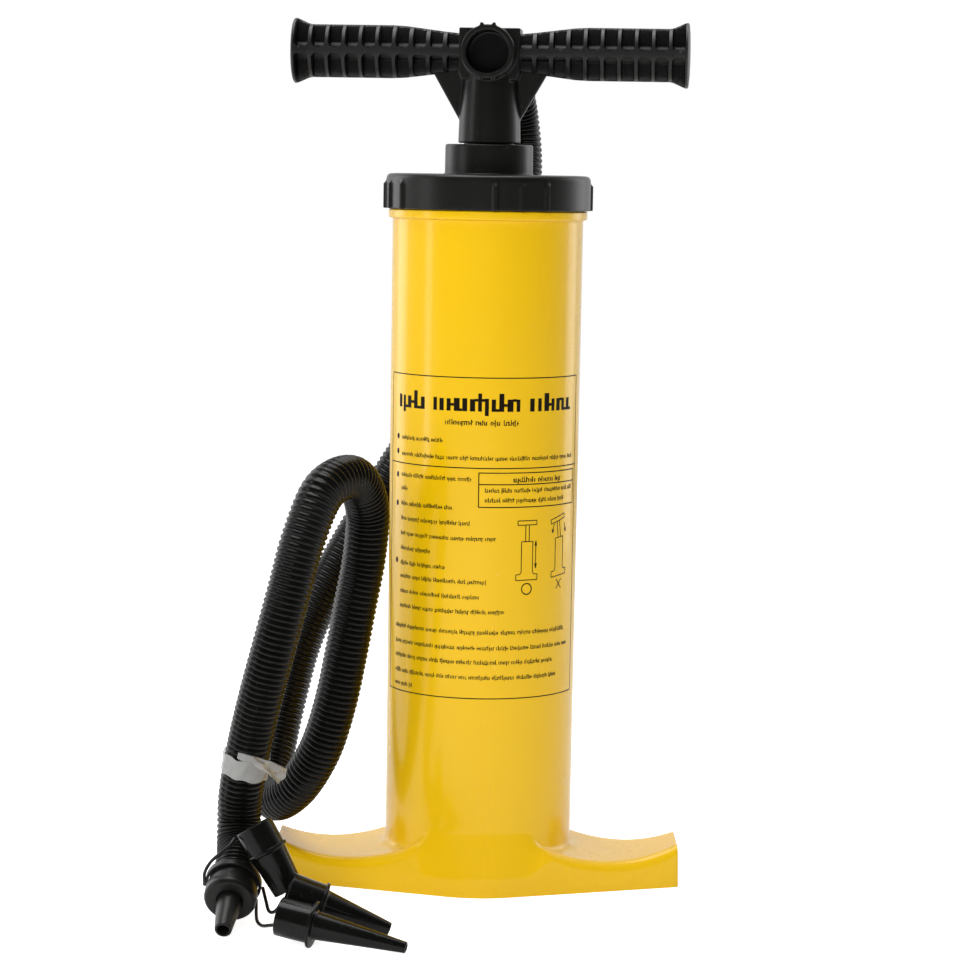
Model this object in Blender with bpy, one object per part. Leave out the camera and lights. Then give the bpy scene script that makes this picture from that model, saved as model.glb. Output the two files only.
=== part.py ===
"""Double-action piston hand pump with foot plates, corrugated hose and nozzle adapters.

Metres, +Z up. The pump stands on z = 0 with its piston rod on the Z axis,
its handle along X and its front port towards -Y.
"""
import math

import bmesh
import bpy
from mathutils import Matrix, Vector

# Barrel and feet
BORE_RADIUS = 0.0495
BARREL_TOP_RADIUS = 0.0527
BARREL_FOOT_RADIUS = 0.0520
BARREL_TOP = 0.3880
BARREL_FLOOR = 0.0220
FLOOR_THICKNESS = 0.0040
PILLAR_RADIUS = 0.0120
BEAD_RADIUS = 0.0550
BEAD_BOTTOM = 0.3700
BEAD_HEIGHT = 0.0050
FOOT_HALF_SPAN = 0.1115
FOOT_END_HALF_DEPTH = 0.0215
FOOT_ROUND_RADIUS = 0.0560
FOOT_ROOT_HEIGHT = 0.0230
FOOT_DIP_HEIGHT = 0.0110
FOOT_DIP_X = 0.0780
FOOT_END_HEIGHT = 0.0185
FOOT_SKIN = 0.0028

# Cap and rod guide
CAP_RADIUS = 0.0565
CAP_BOTTOM = 0.3753
CAP_TOP = 0.3945
CAP_EDGE_ROUND = 0.0045
CAP_PLATE_UNDERSIDE = 0.3907
CAP_RIB_ANGLES = (18.8, 108.8, 198.8, 288.8)
CAP_RIB_PITCH = 15.0
CAP_RIB_WIDTH = 0.0034
CAP_RIB_TOP = 0.3905
CAP_RIB_REACH = 0.0580
COLLAR_RADIUS = 0.0242
COLLAR_TOP = 0.4110
SLEEVE_RADIUS = 0.0240
GUIDE_BORE = 0.0200
GUIDE_BOTTOM = 0.3520

# Piston rod and its inner air tube
ROD_RADIUS = 0.0140
ROD_WALL = 0.0020
ROD_BOTTOM = 0.0762
ROD_TOP = 0.4400
AIR_TUBE_RADIUS = 0.0070
AIR_TUBE_WALL = 0.0015
AIR_TUBE_BOTTOM = 0.0440
AIR_TUBE_TOP = 0.4540

# Piston, with an intake gallery above its middle plate and a delivery gallery below it
PISTON_RADIUS = 0.0489
PISTON_BOTTOM = 0.0300
PISTON_TOP = 0.0760
PLATE = 0.0035
MIDDLE_BOTTOM = 0.0506
MIDDLE_TOP = 0.0540
PISTON_WALL_INNER = 0.0440
GROOVE_FLOOR = 0.0460
GROOVE_HEIGHT = 0.0062
SEAL_HEIGHT = 0.0056
VALVE_ORBIT = 0.0310
VALVE_RADIUS = 0.0095
VALVE_THICKNESS = 0.0015
VALVE_TRAVEL = 0.0015
CHIMNEY_RADIUS = 0.0118
CHIMNEY_BORE = 0.0100
SCREW_ORBIT = 0.0395
POST_RADIUS = 0.0040
GAP = 0.0003

# Handle
HANDLE_TURN = math.radians(-4.5)
HANDLE_Z = 0.4610
HUB_HALF_WIDTH = 0.0168
HUB_HALF_HEIGHT = 0.0134
HUB_HALF_DEPTH = 0.0140
PORT_RADIUS = 0.0147
PORT_BORE = 0.0117
PORT_REACH = 0.0250
PORT_DEPTH = 0.0165
NECK_BOTTOM = 0.4116
NECK_BOTTOM_RADIUS = 0.0172
NECK_STRAIGHT_TOP = 0.4250
NECK_TOP_RADIUS = 0.0150
WEB_HALF_SPAN = 0.0310
WEB_THICKNESS = 0.0040
GRIP_INNER_X = 0.0172
GRIP_END_X = 0.1093
GRIP_WAIST_RADIUS = 0.0098
GRIP_RADIUS = 0.0148
GRIP_FLANGE_RADIUS = 0.0183
POCKET_PITCH = 0.0093
POCKET_WIDTH = 0.0066
POCKET_COUNT = 10
POCKET_DEPTH_FROM_AXIS = 0.0090
POCKET_BAND = 0.0018

# Hose and what is on it
HOSE_RADIUS = 0.0120
HOSE_SPACING = 0.0150
CONNECTOR_END = 0.0500
CUFF_BASE = (-0.1279, -0.1102, 0.0232)
NOZZLE_TIP = (-0.1306, -0.1500, 0.0042)
CUFF_LENGTH = 0.0210
TIE_STATION = 0.945
LANYARD_RADIUS = 0.0009

HOSE_ROUTE = (
    (0.0040, 0.0503, 0.4610), (0.0056, 0.0660, 0.4608), (0.0114, 0.0910, 0.4495),
    (0.0169, 0.1068, 0.4272), (0.0194, 0.1050, 0.3995), (0.0170, 0.0963, 0.3726),
    (0.0107, 0.0891, 0.3460), (0.0014, 0.0836, 0.3199), (-0.0100, 0.0796, 0.2943),
    (-0.0228, 0.0766, 0.2692), (-0.0368, 0.0743, 0.2447), (-0.0519, 0.0715, 0.2209),
    (-0.0665, 0.0677, 0.1970), (-0.0804, 0.0631, 0.1728), (-0.0936, 0.0578, 0.1483),
    (-0.1040, 0.0521, 0.1226), (-0.1109, 0.0464, 0.0957), (-0.1164, 0.0388, 0.0691),
    (-0.1197, 0.0222, 0.0470), (-0.1137, -0.0042, 0.0422), (-0.1002, -0.0249, 0.0550),
    (-0.0876, -0.0362, 0.0775), (-0.0794, -0.0416, 0.1040), (-0.0738, -0.0442, 0.1316),
    (-0.0689, -0.0451, 0.1595), (-0.0641, -0.0460, 0.1874), (-0.0628, -0.0531, 0.2145),
    (-0.0699, -0.0729, 0.2324), (-0.0836, -0.0958, 0.2281), (-0.0936, -0.1059, 0.2042),
    (-0.1006, -0.1083, 0.1769), (-0.1077, -0.1070, 0.1495), (-0.1148, -0.1020, 0.1224),
    (-0.1213, -0.0945, 0.0954), (-0.1262, -0.0868, 0.0700), (-0.1278, -0.0834, 0.0577),
    (-0.1282, -0.0830, 0.0469), (-0.1278, -0.0877, 0.0367), (-0.1270, -0.0962, 0.0299),
    (-0.1275, -0.1039, 0.0262), (-0.1280, -0.1105, 0.0231),
)


def clear_scene():
    for obj in list(bpy.data.objects):
        bpy.data.objects.remove(obj, do_unlink=True)


def plastic(name, colour, roughness):
    material = bpy.data.materials.new(name)
    material.use_nodes = True
    shader = material.node_tree.nodes["Principled BSDF"]
    shader.inputs["Base Color"].default_value = (*colour, 1.0)
    shader.inputs["Roughness"].default_value = roughness
    shader.inputs["Metallic"].default_value = 0.0
    return material


def steel(name):
    material = plastic(name, (0.55, 0.55, 0.56), 0.3)
    material.node_tree.nodes["Principled BSDF"].inputs["Metallic"].default_value = 1.0
    return material


def add_object(name, bm, material, parent=None, location=(0.0, 0.0, 0.0)):
    """Closes the bmesh into a named object with outward faces and smooth round walls."""
    bmesh.ops.remove_doubles(bm, verts=bm.verts, dist=1e-6)
    bmesh.ops.recalc_face_normals(bm, faces=bm.faces)
    mesh = bpy.data.meshes.new(name)
    bm.to_mesh(mesh)
    bm.free()
    mesh.materials.append(material)
    mesh.shade_smooth()
    mesh.set_sharp_from_angle(angle=math.radians(35.0))
    obj = bpy.data.objects.new(name, mesh)
    bpy.context.scene.collection.objects.link(obj)
    obj.location = location
    obj.parent = parent
    return obj


def add_empty(name, parent=None, location=(0.0, 0.0, 0.0)):
    empty = bpy.data.objects.new(name, None)
    bpy.context.scene.collection.objects.link(empty)
    empty.location = location
    empty.parent = parent
    return empty


def turned_bmesh(outline, steps=40, axis="Z"):
    """Spins an outline of (radius, height) points about the axis.

    An outline that starts and ends on the axis is left open there. Any other is a closed ring.
    """
    bm = bmesh.new()
    verts = [bm.verts.new((radius, 0.0, height)) for radius, height in outline]
    edges = [bm.edges.new(pair) for pair in zip(verts, verts[1:])]
    if outline[0][0] > 1e-7 or outline[-1][0] > 1e-7:
        edges.append(bm.edges.new((verts[-1], verts[0])))
    bmesh.ops.spin(bm, geom=verts + edges, cent=(0, 0, 0), axis=(0, 0, 1), dvec=(0, 0, 0),
                   angle=math.tau, steps=steps, use_merge=True, use_duplicate=False)
    bmesh.ops.remove_doubles(bm, verts=bm.verts, dist=1e-6)
    bmesh.ops.dissolve_degenerate(bm, dist=1e-7, edges=bm.edges)
    turns = {"Z": Matrix.Identity(4), "X": Matrix.Rotation(math.pi / 2, 4, "Y"),
             "Y": Matrix.Rotation(-math.pi / 2, 4, "X")}
    bm.transform(turns[axis])
    return bm


def turned(name, outline, material, parent=None, steps=40, axis="Z", location=(0.0, 0.0, 0.0)):
    return add_object(name, turned_bmesh(outline, steps, axis), material, parent, location)


def tube_outline(inner, outer, bottom, top):
    return [(inner, bottom), (outer, bottom), (outer, top), (inner, top)]


def rod_outline(radius, bottom, top):
    return [(0.0, bottom), (radius, bottom), (radius, top), (0.0, top)]


def box_bmesh(low, high):
    bm = bmesh.new()
    bmesh.ops.create_cube(bm, size=1.0)
    size = Vector(high) - Vector(low)
    centre = (Vector(high) + Vector(low)) / 2
    bm.transform(Matrix.Translation(centre) @ Matrix.Diagonal((*size, 1.0)))
    return bm


def prism_bmesh(outline, low, high, axis="Z"):
    """Extrudes a closed outline of (a, b) points from low to high along Z or Y."""
    bm = bmesh.new()
    if axis == "Z":
        verts = [bm.verts.new((a, b, low)) for a, b in outline]
        step = Vector((0.0, 0.0, high - low))
    else:
        verts = [bm.verts.new((a, low, b)) for a, b in outline]
        step = Vector((0.0, high - low, 0.0))
    face = bm.faces.new(verts)
    extruded = bmesh.ops.extrude_face_region(bm, geom=[face])
    moved = [item for item in extruded["geom"] if isinstance(item, bmesh.types.BMVert)]
    bmesh.ops.translate(bm, verts=moved, vec=step)
    return bm


def merged(*parts):
    """Puts separate bmeshes into one."""
    whole = bmesh.new()
    for part in parts:
        piece = bpy.data.meshes.new("part")
        part.to_mesh(piece)
        part.free()
        whole.from_mesh(piece)
        bpy.data.meshes.remove(piece)
    return whole


def moved(bm, x=0.0, y=0.0, z=0.0):
    bm.transform(Matrix.Translation((x, y, z)))
    return bm


def combine(target, operation, tool_bmesh):
    """Adds a Boolean modifier whose tool stays in the file as a hidden wire guide."""
    tool = add_object(f"{target.name}_{operation.lower()}_{len(target.modifiers)}", tool_bmesh,
                      target.data.materials[0], target.parent, target.location)
    tool.hide_render = True
    tool.display_type = "WIRE"
    modifier = target.modifiers.new(operation.title(), "BOOLEAN")
    modifier.operation = operation
    modifier.solver = "EXACT"
    modifier.object = tool


def polar(radius, degrees):
    angle = math.radians(degrees)
    return radius * math.cos(angle), radius * math.sin(angle)


def make_barrel(finish):
    pillar_top = BARREL_FLOOR - FLOOR_THICKNESS
    outline = [
        (0.0, 0.0), (PILLAR_RADIUS, 0.0), (PILLAR_RADIUS, pillar_top),
        (BORE_RADIUS, pillar_top), (BORE_RADIUS, 0.0), (BARREL_FOOT_RADIUS, 0.0),
        (BARREL_TOP_RADIUS, BEAD_BOTTOM), (BEAD_RADIUS - 0.0007, BEAD_BOTTOM + 0.0004),
        (BEAD_RADIUS, BEAD_BOTTOM + 0.0015), (BEAD_RADIUS, BEAD_BOTTOM + BEAD_HEIGHT),
        (BARREL_TOP_RADIUS, BEAD_BOTTOM + BEAD_HEIGHT), (BARREL_TOP_RADIUS, BARREL_TOP),
        (BORE_RADIUS, BARREL_TOP), (BORE_RADIUS, BARREL_FLOOR), (0.0, BARREL_FLOOR),
    ]
    return turned("barrel", outline, finish, steps=44)


def foot_plan(steps=12):
    """Plan of the feet: an arc round the barrel, with tangents to the two narrow ends."""
    tangent = math.acos(FOOT_ROUND_RADIUS / math.hypot(FOOT_HALF_SPAN, FOOT_END_HALF_DEPTH))
    tangent += math.atan2(FOOT_END_HALF_DEPTH, FOOT_HALF_SPAN)
    back = [(FOOT_HALF_SPAN, FOOT_END_HALF_DEPTH)]
    for step in range(steps + 1):
        angle = tangent + (math.pi - 2 * tangent) * step / steps
        back.append((FOOT_ROUND_RADIUS * math.cos(angle), FOOT_ROUND_RADIUS * math.sin(angle)))
    back.append((-FOOT_HALF_SPAN, FOOT_END_HALF_DEPTH))
    return back + [(-x, -y) for x, y in back]


def foot_top_height(x):
    """Height of a foot at distance x from the axis: two smooth arcs that meet in the dip."""
    if x < FOOT_DIP_X:
        share = (FOOT_DIP_X - x) / (FOOT_DIP_X - BARREL_FOOT_RADIUS)
        return FOOT_DIP_HEIGHT + (FOOT_ROOT_HEIGHT - FOOT_DIP_HEIGHT) * 0.42 * share ** 2
    share = (x - FOOT_DIP_X) / (FOOT_HALF_SPAN - FOOT_DIP_X)
    return FOOT_DIP_HEIGHT + (FOOT_END_HEIGHT - FOOT_DIP_HEIGHT) * share ** 2


def make_foot_base(finish):
    reach = [0.036 + (FOOT_HALF_SPAN - 0.036) * step / 13 for step in range(14)]
    right = [(x, foot_top_height(x)) for x in reversed(reach)]
    side = [(FOOT_HALF_SPAN, 0.0), *right, *[(-x, z) for x, z in reversed(right)]]
    side.append((-FOOT_HALF_SPAN, 0.0))
    base = add_object("foot_base", prism_bmesh(foot_plan(), 0.0, 0.030), finish)
    combine(base, "INTERSECT", prism_bmesh(side, -0.070, 0.070, axis="Y"))
    hole = turned_bmesh(rod_outline(BARREL_FOOT_RADIUS + GAP + 0.0001, -0.010, 0.040), steps=44)
    combine(base, "DIFFERENCE", hole)
    cells = []
    for side_sign in (-1, 1):
        for column, (near, far) in enumerate(((0.0590, 0.0725), (0.0755, 0.0890), (0.0920, 0.1085))):
            half_depth = (0.0350, 0.0270, 0.0185)[column]
            for low, high in ((-half_depth, -0.0015), (0.0015, half_depth)):
                low_corner = (min(side_sign * near, side_sign * far), low, -0.002)
                high_corner = (max(side_sign * near, side_sign * far), high,
                               FOOT_DIP_HEIGHT - FOOT_SKIN)
                cells.append(box_bmesh(low_corner, high_corner))
    combine(base, "DIFFERENCE", merged(*cells))
    return base


def make_cap(finish, parent):
    skirt_bore = BARREL_TOP_RADIUS + 0.0006
    corner = [(CAP_RADIUS - CAP_EDGE_ROUND * (1 - math.sin(angle)),
               CAP_TOP - CAP_EDGE_ROUND * (1 - math.cos(angle)))
              for angle in (math.radians(step) for step in (90, 45, 0))]
    outline = [
        (skirt_bore, CAP_BOTTOM), (CAP_RADIUS, CAP_BOTTOM), *corner,
        (COLLAR_RADIUS + 0.0010, CAP_TOP), (COLLAR_RADIUS, CAP_TOP + 0.0010),
        (COLLAR_RADIUS, COLLAR_TOP - 0.0010), (COLLAR_RADIUS - 0.0010, COLLAR_TOP),
        (ROD_RADIUS + 0.0010, COLLAR_TOP), (ROD_RADIUS + 0.0010, COLLAR_TOP - 0.0024),
        (GUIDE_BORE, COLLAR_TOP - 0.0024), (GUIDE_BORE, GUIDE_BOTTOM),
        (SLEEVE_RADIUS, GUIDE_BOTTOM), (SLEEVE_RADIUS, CAP_PLATE_UNDERSIDE),
        (skirt_bore, CAP_PLATE_UNDERSIDE),
    ]
    cap = turned("cap", outline, finish, parent, steps=40)
    ribs = []
    for centre in CAP_RIB_ANGLES:
        for offset in (-1, 0, 1):
            angle = math.radians(centre - 90.0 + offset * CAP_RIB_PITCH)
            rib = box_bmesh((CAP_RADIUS - 0.0016, -CAP_RIB_WIDTH / 2, CAP_BOTTOM),
                            (CAP_RIB_REACH, CAP_RIB_WIDTH / 2, CAP_RIB_TOP))
            rib.transform(Matrix.Rotation(angle, 4, "Z"))
            ribs.append(rib)
    combine(cap, "UNION", merged(*ribs))
    return cap


def make_rod_guide(bush, rubber, finish, parent):
    rod_bore = ROD_RADIUS + 0.0004
    turned("rod_bush", tube_outline(rod_bore, GUIDE_BORE - GAP, GUIDE_BOTTOM + 0.0035, 0.4040),
           bush, parent, steps=24)
    seal = [(rod_bore, 0.4044), (GUIDE_BORE - GAP, 0.4044), (GUIDE_BORE - GAP, 0.4082),
            (GUIDE_BORE - 0.0020, 0.4082), (ROD_RADIUS + 0.0024, 0.4062), (rod_bore, 0.4082)]
    turned("rod_seal", seal, rubber, parent, steps=24)
    ring = [(rod_bore + 0.0006, 0.3482), (SLEEVE_RADIUS, 0.3482), (SLEEVE_RADIUS, 0.3517),
            (GUIDE_BORE - GAP, 0.3517), (GUIDE_BORE - GAP, 0.3551), (rod_bore + 0.0006, 0.3551)]
    turned("guide_retainer", ring, finish, parent, steps=24)
    turned("cap_gasket", tube_outline(BORE_RADIUS + 0.0004, BARREL_TOP_RADIUS - 0.0002,
                                      BARREL_TOP + GAP, CAP_PLATE_UNDERSIDE - GAP),
           rubber, parent, steps=28)


def make_rod(finish, parent):
    turned("piston_rod", tube_outline(ROD_RADIUS - ROD_WALL, ROD_RADIUS, ROD_BOTTOM, ROD_TOP),
           finish, parent, steps=24)
    turned("air_tube", tube_outline(AIR_TUBE_RADIUS - AIR_TUBE_WALL, AIR_TUBE_RADIUS,
                                    AIR_TUBE_BOTTOM, AIR_TUBE_TOP), finish, parent, steps=16)


def valve_holes(orbit_angle, low, high):
    """Four air holes under a valve disc, and the hole for its pin."""
    x, y = polar(VALVE_ORBIT, orbit_angle)
    holes = [moved(turned_bmesh(rod_outline(0.0016, low, high), steps=8), x, y)]
    for turn in range(4):
        across, along = polar(0.0058, 90.0 * turn)
        holes.append(moved(turned_bmesh(rod_outline(0.0021, low, high), steps=8), x + across, y + along))
    return holes


def posts(low, high):
    """Four screw posts, each with its screw hole, as (solids, holes)."""
    solids = []
    holes = []
    for turn in range(4):
        x, y = polar(SCREW_ORBIT, 90.0 * turn)
        solids.append(moved(turned_bmesh(rod_outline(POST_RADIUS, low, high), steps=10), x, y))
        holes.append(moved(turned_bmesh(rod_outline(0.0018, low - 0.010, high - 0.0008), steps=8), x, y))
    return solids, holes


def make_piston(finish, rubber, metal, parent):
    inner = PISTON_WALL_INNER
    under = PISTON_TOP - PLATE
    upper_groove = 0.0640
    crown_outline = [
        (AIR_TUBE_RADIUS + 0.0030, under), (inner, under), (inner, MIDDLE_TOP + GAP),
        (PISTON_RADIUS, MIDDLE_TOP + GAP), (PISTON_RADIUS, upper_groove), (GROOVE_FLOOR, upper_groove),
        (GROOVE_FLOOR, upper_groove + GROOVE_HEIGHT), (PISTON_RADIUS, upper_groove + GROOVE_HEIGHT),
        (PISTON_RADIUS, PISTON_TOP), (0.0185, PISTON_TOP), (0.0185, 0.0860),
        (ROD_RADIUS + GAP, 0.0860), (ROD_RADIUS + GAP, PISTON_TOP - 0.0002),
        (AIR_TUBE_RADIUS + 0.0030, PISTON_TOP - 0.0002),
    ]
    crown = turned("piston_crown", crown_outline, finish, parent, steps=36)
    solids, holes = posts(MIDDLE_TOP + GAP, under + 0.0010)
    chimney = tube_outline(CHIMNEY_BORE, CHIMNEY_RADIUS, MIDDLE_TOP + GAP, under + 0.0010)
    solids.append(moved(turned_bmesh(chimney, steps=16), *polar(VALVE_ORBIT, 225.0)))
    combine(crown, "UNION", merged(*solids))
    chimney_hole = turned_bmesh(rod_outline(CHIMNEY_BORE, under - 0.0010, PISTON_TOP + 0.002), steps=16)
    holes += valve_holes(45.0, under - 0.001, PISTON_TOP + 0.001)
    holes.append(moved(chimney_hole, *polar(VALVE_ORBIT, 225.0)))
    combine(crown, "DIFFERENCE", merged(*holes))

    middle_outline = tube_outline(AIR_TUBE_RADIUS + GAP, PISTON_RADIUS, MIDDLE_BOTTOM, MIDDLE_TOP)
    middle = turned("piston_middle_plate", middle_outline, finish, parent, steps=36)
    holes = valve_holes(225.0, MIDDLE_BOTTOM - 0.001, MIDDLE_TOP + 0.001)
    passage = turned_bmesh(rod_outline(CHIMNEY_BORE - 0.001, MIDDLE_BOTTOM - 0.001, MIDDLE_TOP + 0.001),
                           steps=20)
    holes.append(moved(passage, *polar(VALVE_ORBIT, 135.0)))
    for turn in range(4):
        screw_hole = turned_bmesh(rod_outline(0.0018, MIDDLE_BOTTOM - 0.001, MIDDLE_TOP + 0.001), steps=8)
        holes.append(moved(screw_hole, *polar(SCREW_ORBIT, 90.0 * turn)))
    combine(middle, "DIFFERENCE", merged(*holes))

    deck = PISTON_BOTTOM + PLATE
    lower_groove = 0.0380
    floor_outline = [
        (0.0, PISTON_BOTTOM), (PISTON_RADIUS, PISTON_BOTTOM), (PISTON_RADIUS, lower_groove),
        (GROOVE_FLOOR, lower_groove), (GROOVE_FLOOR, lower_groove + GROOVE_HEIGHT),
        (PISTON_RADIUS, lower_groove + GROOVE_HEIGHT), (PISTON_RADIUS, MIDDLE_BOTTOM - GAP),
        (inner, MIDDLE_BOTTOM - GAP), (inner, deck), (0.0, deck),
    ]
    floor = turned("piston_floor", floor_outline, finish, parent, steps=36)
    solids, holes = posts(deck - 0.0010, MIDDLE_BOTTOM - GAP)
    chimney = tube_outline(CHIMNEY_BORE, CHIMNEY_RADIUS, deck - 0.0010, MIDDLE_BOTTOM - GAP)
    solids.append(moved(turned_bmesh(chimney, steps=16), *polar(VALVE_ORBIT, 135.0)))
    combine(floor, "UNION", merged(*solids))
    for hole in holes:
        hole.free()
    holes = valve_holes(315.0, PISTON_BOTTOM - 0.001, deck + 0.001)
    holes += valve_holes(135.0, PISTON_BOTTOM - 0.001, deck + 0.001)
    for turn in range(4):
        screw_hole = turned_bmesh(rod_outline(0.0018, PISTON_BOTTOM - 0.001, MIDDLE_BOTTOM), steps=8)
        holes.append(moved(screw_hole, *polar(SCREW_ORBIT, 90.0 * turn)))
    combine(floor, "DIFFERENCE", merged(*holes))

    for label, bottom in (("upper", upper_groove), ("lower", lower_groove)):
        low = bottom + GAP
        lip = [(GROOVE_FLOOR + GAP, low), (0.0486, low), (0.0492, low + 0.0010), (0.0492, low + 0.0046),
               (0.0486, low + SEAL_HEIGHT), (GROOVE_FLOOR + GAP, low + SEAL_HEIGHT)]
        turned(f"piston_seal_{label}", lip, rubber, parent, steps=36)

    for turn in range(4):
        head = PISTON_BOTTOM - 0.0005
        outline = [(0.0, head - 0.0016), (0.0026, head - 0.0016), (0.0031, head - 0.0006), (0.0031, head),
                   (0.0014, head), (0.0014, 0.0690), (0.0, 0.0700)]
        turned(f"piston_screw_{turn + 1}", outline, metal, parent, steps=10,
               location=(*polar(SCREW_ORBIT, 90.0 * turn), 0.0))


def make_valve(name, orbit_angle, seat, direction, plate_far_side, rubber, finish, parent):
    """A rubber disc that lifts off its seat along +-Z, and the headed pin that guides it."""
    x, y = polar(VALVE_ORBIT, orbit_angle)
    low, high = sorted((direction * GAP, direction * (GAP + VALVE_THICKNESS)))
    turned(f"valve_{name}", tube_outline(0.0019, VALVE_RADIUS, low, high), rubber, parent,
           steps=16, location=(x, y, seat))
    head = direction * (GAP + VALVE_THICKNESS + VALVE_TRAVEL + 0.0003)
    tail = plate_far_side - seat
    outline = [(0.0, tail), (0.0013, tail), (0.0013, head), (0.0036, head),
               (0.0036, head + direction * 0.0010), (0.0, head + direction * 0.0014)]
    turned(f"valve_pin_{name}", outline, finish, parent, steps=10, location=(x, y, seat))


def make_valves(rubber, finish, parent):
    deck = PISTON_BOTTOM + PLATE
    under = PISTON_TOP - PLATE
    make_valve("intake_top", 45.0, PISTON_TOP, 1, under + 0.0002, rubber, finish, parent)
    make_valve("intake_bottom", 135.0, PISTON_BOTTOM, -1, deck - 0.0002, rubber, finish, parent)
    make_valve("delivery_top", 225.0, MIDDLE_BOTTOM, -1, MIDDLE_TOP - 0.0002, rubber, finish, parent)
    make_valve("delivery_bottom", 315.0, deck, 1, PISTON_BOTTOM + 0.0002, rubber, finish, parent)


def make_hub(finish, parent):
    """Neck, block and two opposite ports: the front port feeds the gap round the air tube."""
    socket_top = ROD_TOP + GAP
    neck = [
        (0.0, socket_top), (ROD_RADIUS + GAP, socket_top), (ROD_RADIUS + GAP, NECK_BOTTOM),
        (NECK_BOTTOM_RADIUS - 0.0006, NECK_BOTTOM), (NECK_BOTTOM_RADIUS, NECK_BOTTOM + 0.0006),
        (NECK_BOTTOM_RADIUS - 0.0004, NECK_STRAIGHT_TOP), (NECK_TOP_RADIUS, 0.4480),
        (NECK_TOP_RADIUS, HANDLE_Z), (0.0, HANDLE_Z),
    ]
    hub = add_object("handle_hub", turned_bmesh(neck, steps=32), finish, parent)
    block = box_bmesh((-HUB_HALF_WIDTH, -HUB_HALF_DEPTH, HANDLE_Z - HUB_HALF_HEIGHT),
                      (HUB_HALF_WIDTH, HUB_HALF_DEPTH, HANDLE_Z + HUB_HALF_HEIGHT))
    bmesh.ops.bevel(block, geom=block.edges, offset=0.0014, segments=2, affect="EDGES")
    combine(hub, "UNION", block)
    ports = moved(turned_bmesh(rod_outline(PORT_RADIUS, -PORT_REACH, PORT_REACH), steps=32, axis="Y"),
                  z=HANDLE_Z)
    combine(hub, "UNION", ports)
    web_root = ROD_RADIUS + 0.0009
    web_end = GRIP_INNER_X - 0.0004
    web_top = HANDLE_Z - GRIP_WAIST_RADIUS - 0.0006
    web_end_top = web_top - 0.0016
    for side in (-1, 1):
        web = [(side * web_root, 0.4236), (side * (web_root + 0.0015), 0.4236),
               (side * WEB_HALF_SPAN, web_end_top), (side * web_end, web_top),
               (side * web_end, HANDLE_Z - 0.0080), (side * web_root, HANDLE_Z - 0.0080)]
        combine(hub, "UNION", prism_bmesh(web, -WEB_THICKNESS / 2, WEB_THICKNESS / 2, axis="Y"))
    tube_socket = turned_bmesh(rod_outline(AIR_TUBE_RADIUS + GAP, ROD_TOP - 0.001, AIR_TUBE_TOP + GAP),
                               steps=20)
    front = moved(turned_bmesh(rod_outline(PORT_BORE, -PORT_REACH - 0.005, -PORT_REACH + PORT_DEPTH),
                               steps=24, axis="Y"), z=HANDLE_Z)
    rear = moved(turned_bmesh(rod_outline(PORT_BORE, PORT_REACH - PORT_DEPTH, PORT_REACH + 0.005),
                              steps=24, axis="Y"), z=HANDLE_Z)
    intake = box_bmesh((-0.0040, -0.0115, ROD_TOP - 0.001), (0.0040, -0.0089, 0.4530))
    delivery = moved(turned_bmesh(rod_outline(0.0040, -0.001, 0.0100), steps=16, axis="Y"),
                     z=AIR_TUBE_TOP - 0.0010)
    combine(hub, "DIFFERENCE", merged(tube_socket, front, rear, intake, delivery))
    hub.modifiers[-1].use_self = True
    return hub


def grip_outline():
    """Outer half-section of a grip from its waist at the hub to its flared end."""
    flare = GRIP_END_X - 0.0010
    return [
        (0.0, GRIP_INNER_X), (GRIP_WAIST_RADIUS, GRIP_INNER_X), (GRIP_WAIST_RADIUS + 0.0010, 0.0290),
        (0.0130, 0.0400), (GRIP_RADIUS, 0.0510), (GRIP_RADIUS, flare - 0.0100),
        (GRIP_RADIUS + 0.0006, flare - 0.0075), (GRIP_FLANGE_RADIUS, flare - 0.0012),
        (GRIP_FLANGE_RADIUS, flare), (GRIP_FLANGE_RADIUS - 0.0060, flare + 0.0008),
        (0.0, flare + 0.0012),
    ]


def make_grip(name, side, finish, parent):
    """A turned grip whose sides are cut into rows of pockets that leave a web, a band and ribs."""
    bm = turned_bmesh(grip_outline(), steps=24, axis="X")
    if side < 0:
        bm.transform(Matrix.Rotation(math.pi, 4, "Z"))
    grip = add_object(name, moved(bm, z=HANDLE_Z), finish, parent)
    pockets = []
    for number in range(POCKET_COUNT):
        middle = side * (GRIP_END_X - 0.0072 - number * POCKET_PITCH)
        for front in (-1, 1):
            near, far = sorted((front * POCKET_DEPTH_FROM_AXIS, front * 0.0250))
            for low, high in ((-0.0098, -POCKET_BAND), (POCKET_BAND, 0.0098)):
                pockets.append(box_bmesh((middle - POCKET_WIDTH / 2, near, HANDLE_Z + low),
                                         (middle + POCKET_WIDTH / 2, far, HANDLE_Z + high)))
    combine(grip, "DIFFERENCE", merged(*pockets))
    return grip


def smooth_curve(route, per_span=12):
    """Points along a centripetal Catmull-Rom curve through the route's points."""
    points = [Vector(point) for point in route]
    padded = [points[0] * 2 - points[1], *points, points[-1] * 2 - points[-2]]
    curve = []
    for p0, p1, p2, p3 in zip(padded, padded[1:], padded[2:], padded[3:]):
        t1 = math.sqrt((p1 - p0).length)
        t2 = t1 + math.sqrt((p2 - p1).length)
        t3 = t2 + math.sqrt((p3 - p2).length)
        for step in range(per_span):
            t = t1 + (t2 - t1) * step / per_span
            a1 = p0.lerp(p1, t / t1)
            a2 = p1.lerp(p2, (t - t1) / (t2 - t1))
            a3 = p2.lerp(p3, (t - t2) / (t3 - t2))
            b1 = a1.lerp(a2, t / t2)
            b2 = a2.lerp(a3, (t - t1) / (t3 - t1))
            curve.append(b1.lerp(b2, (t - t1) / (t2 - t1)))
    curve.append(points[-1])
    return curve


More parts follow.
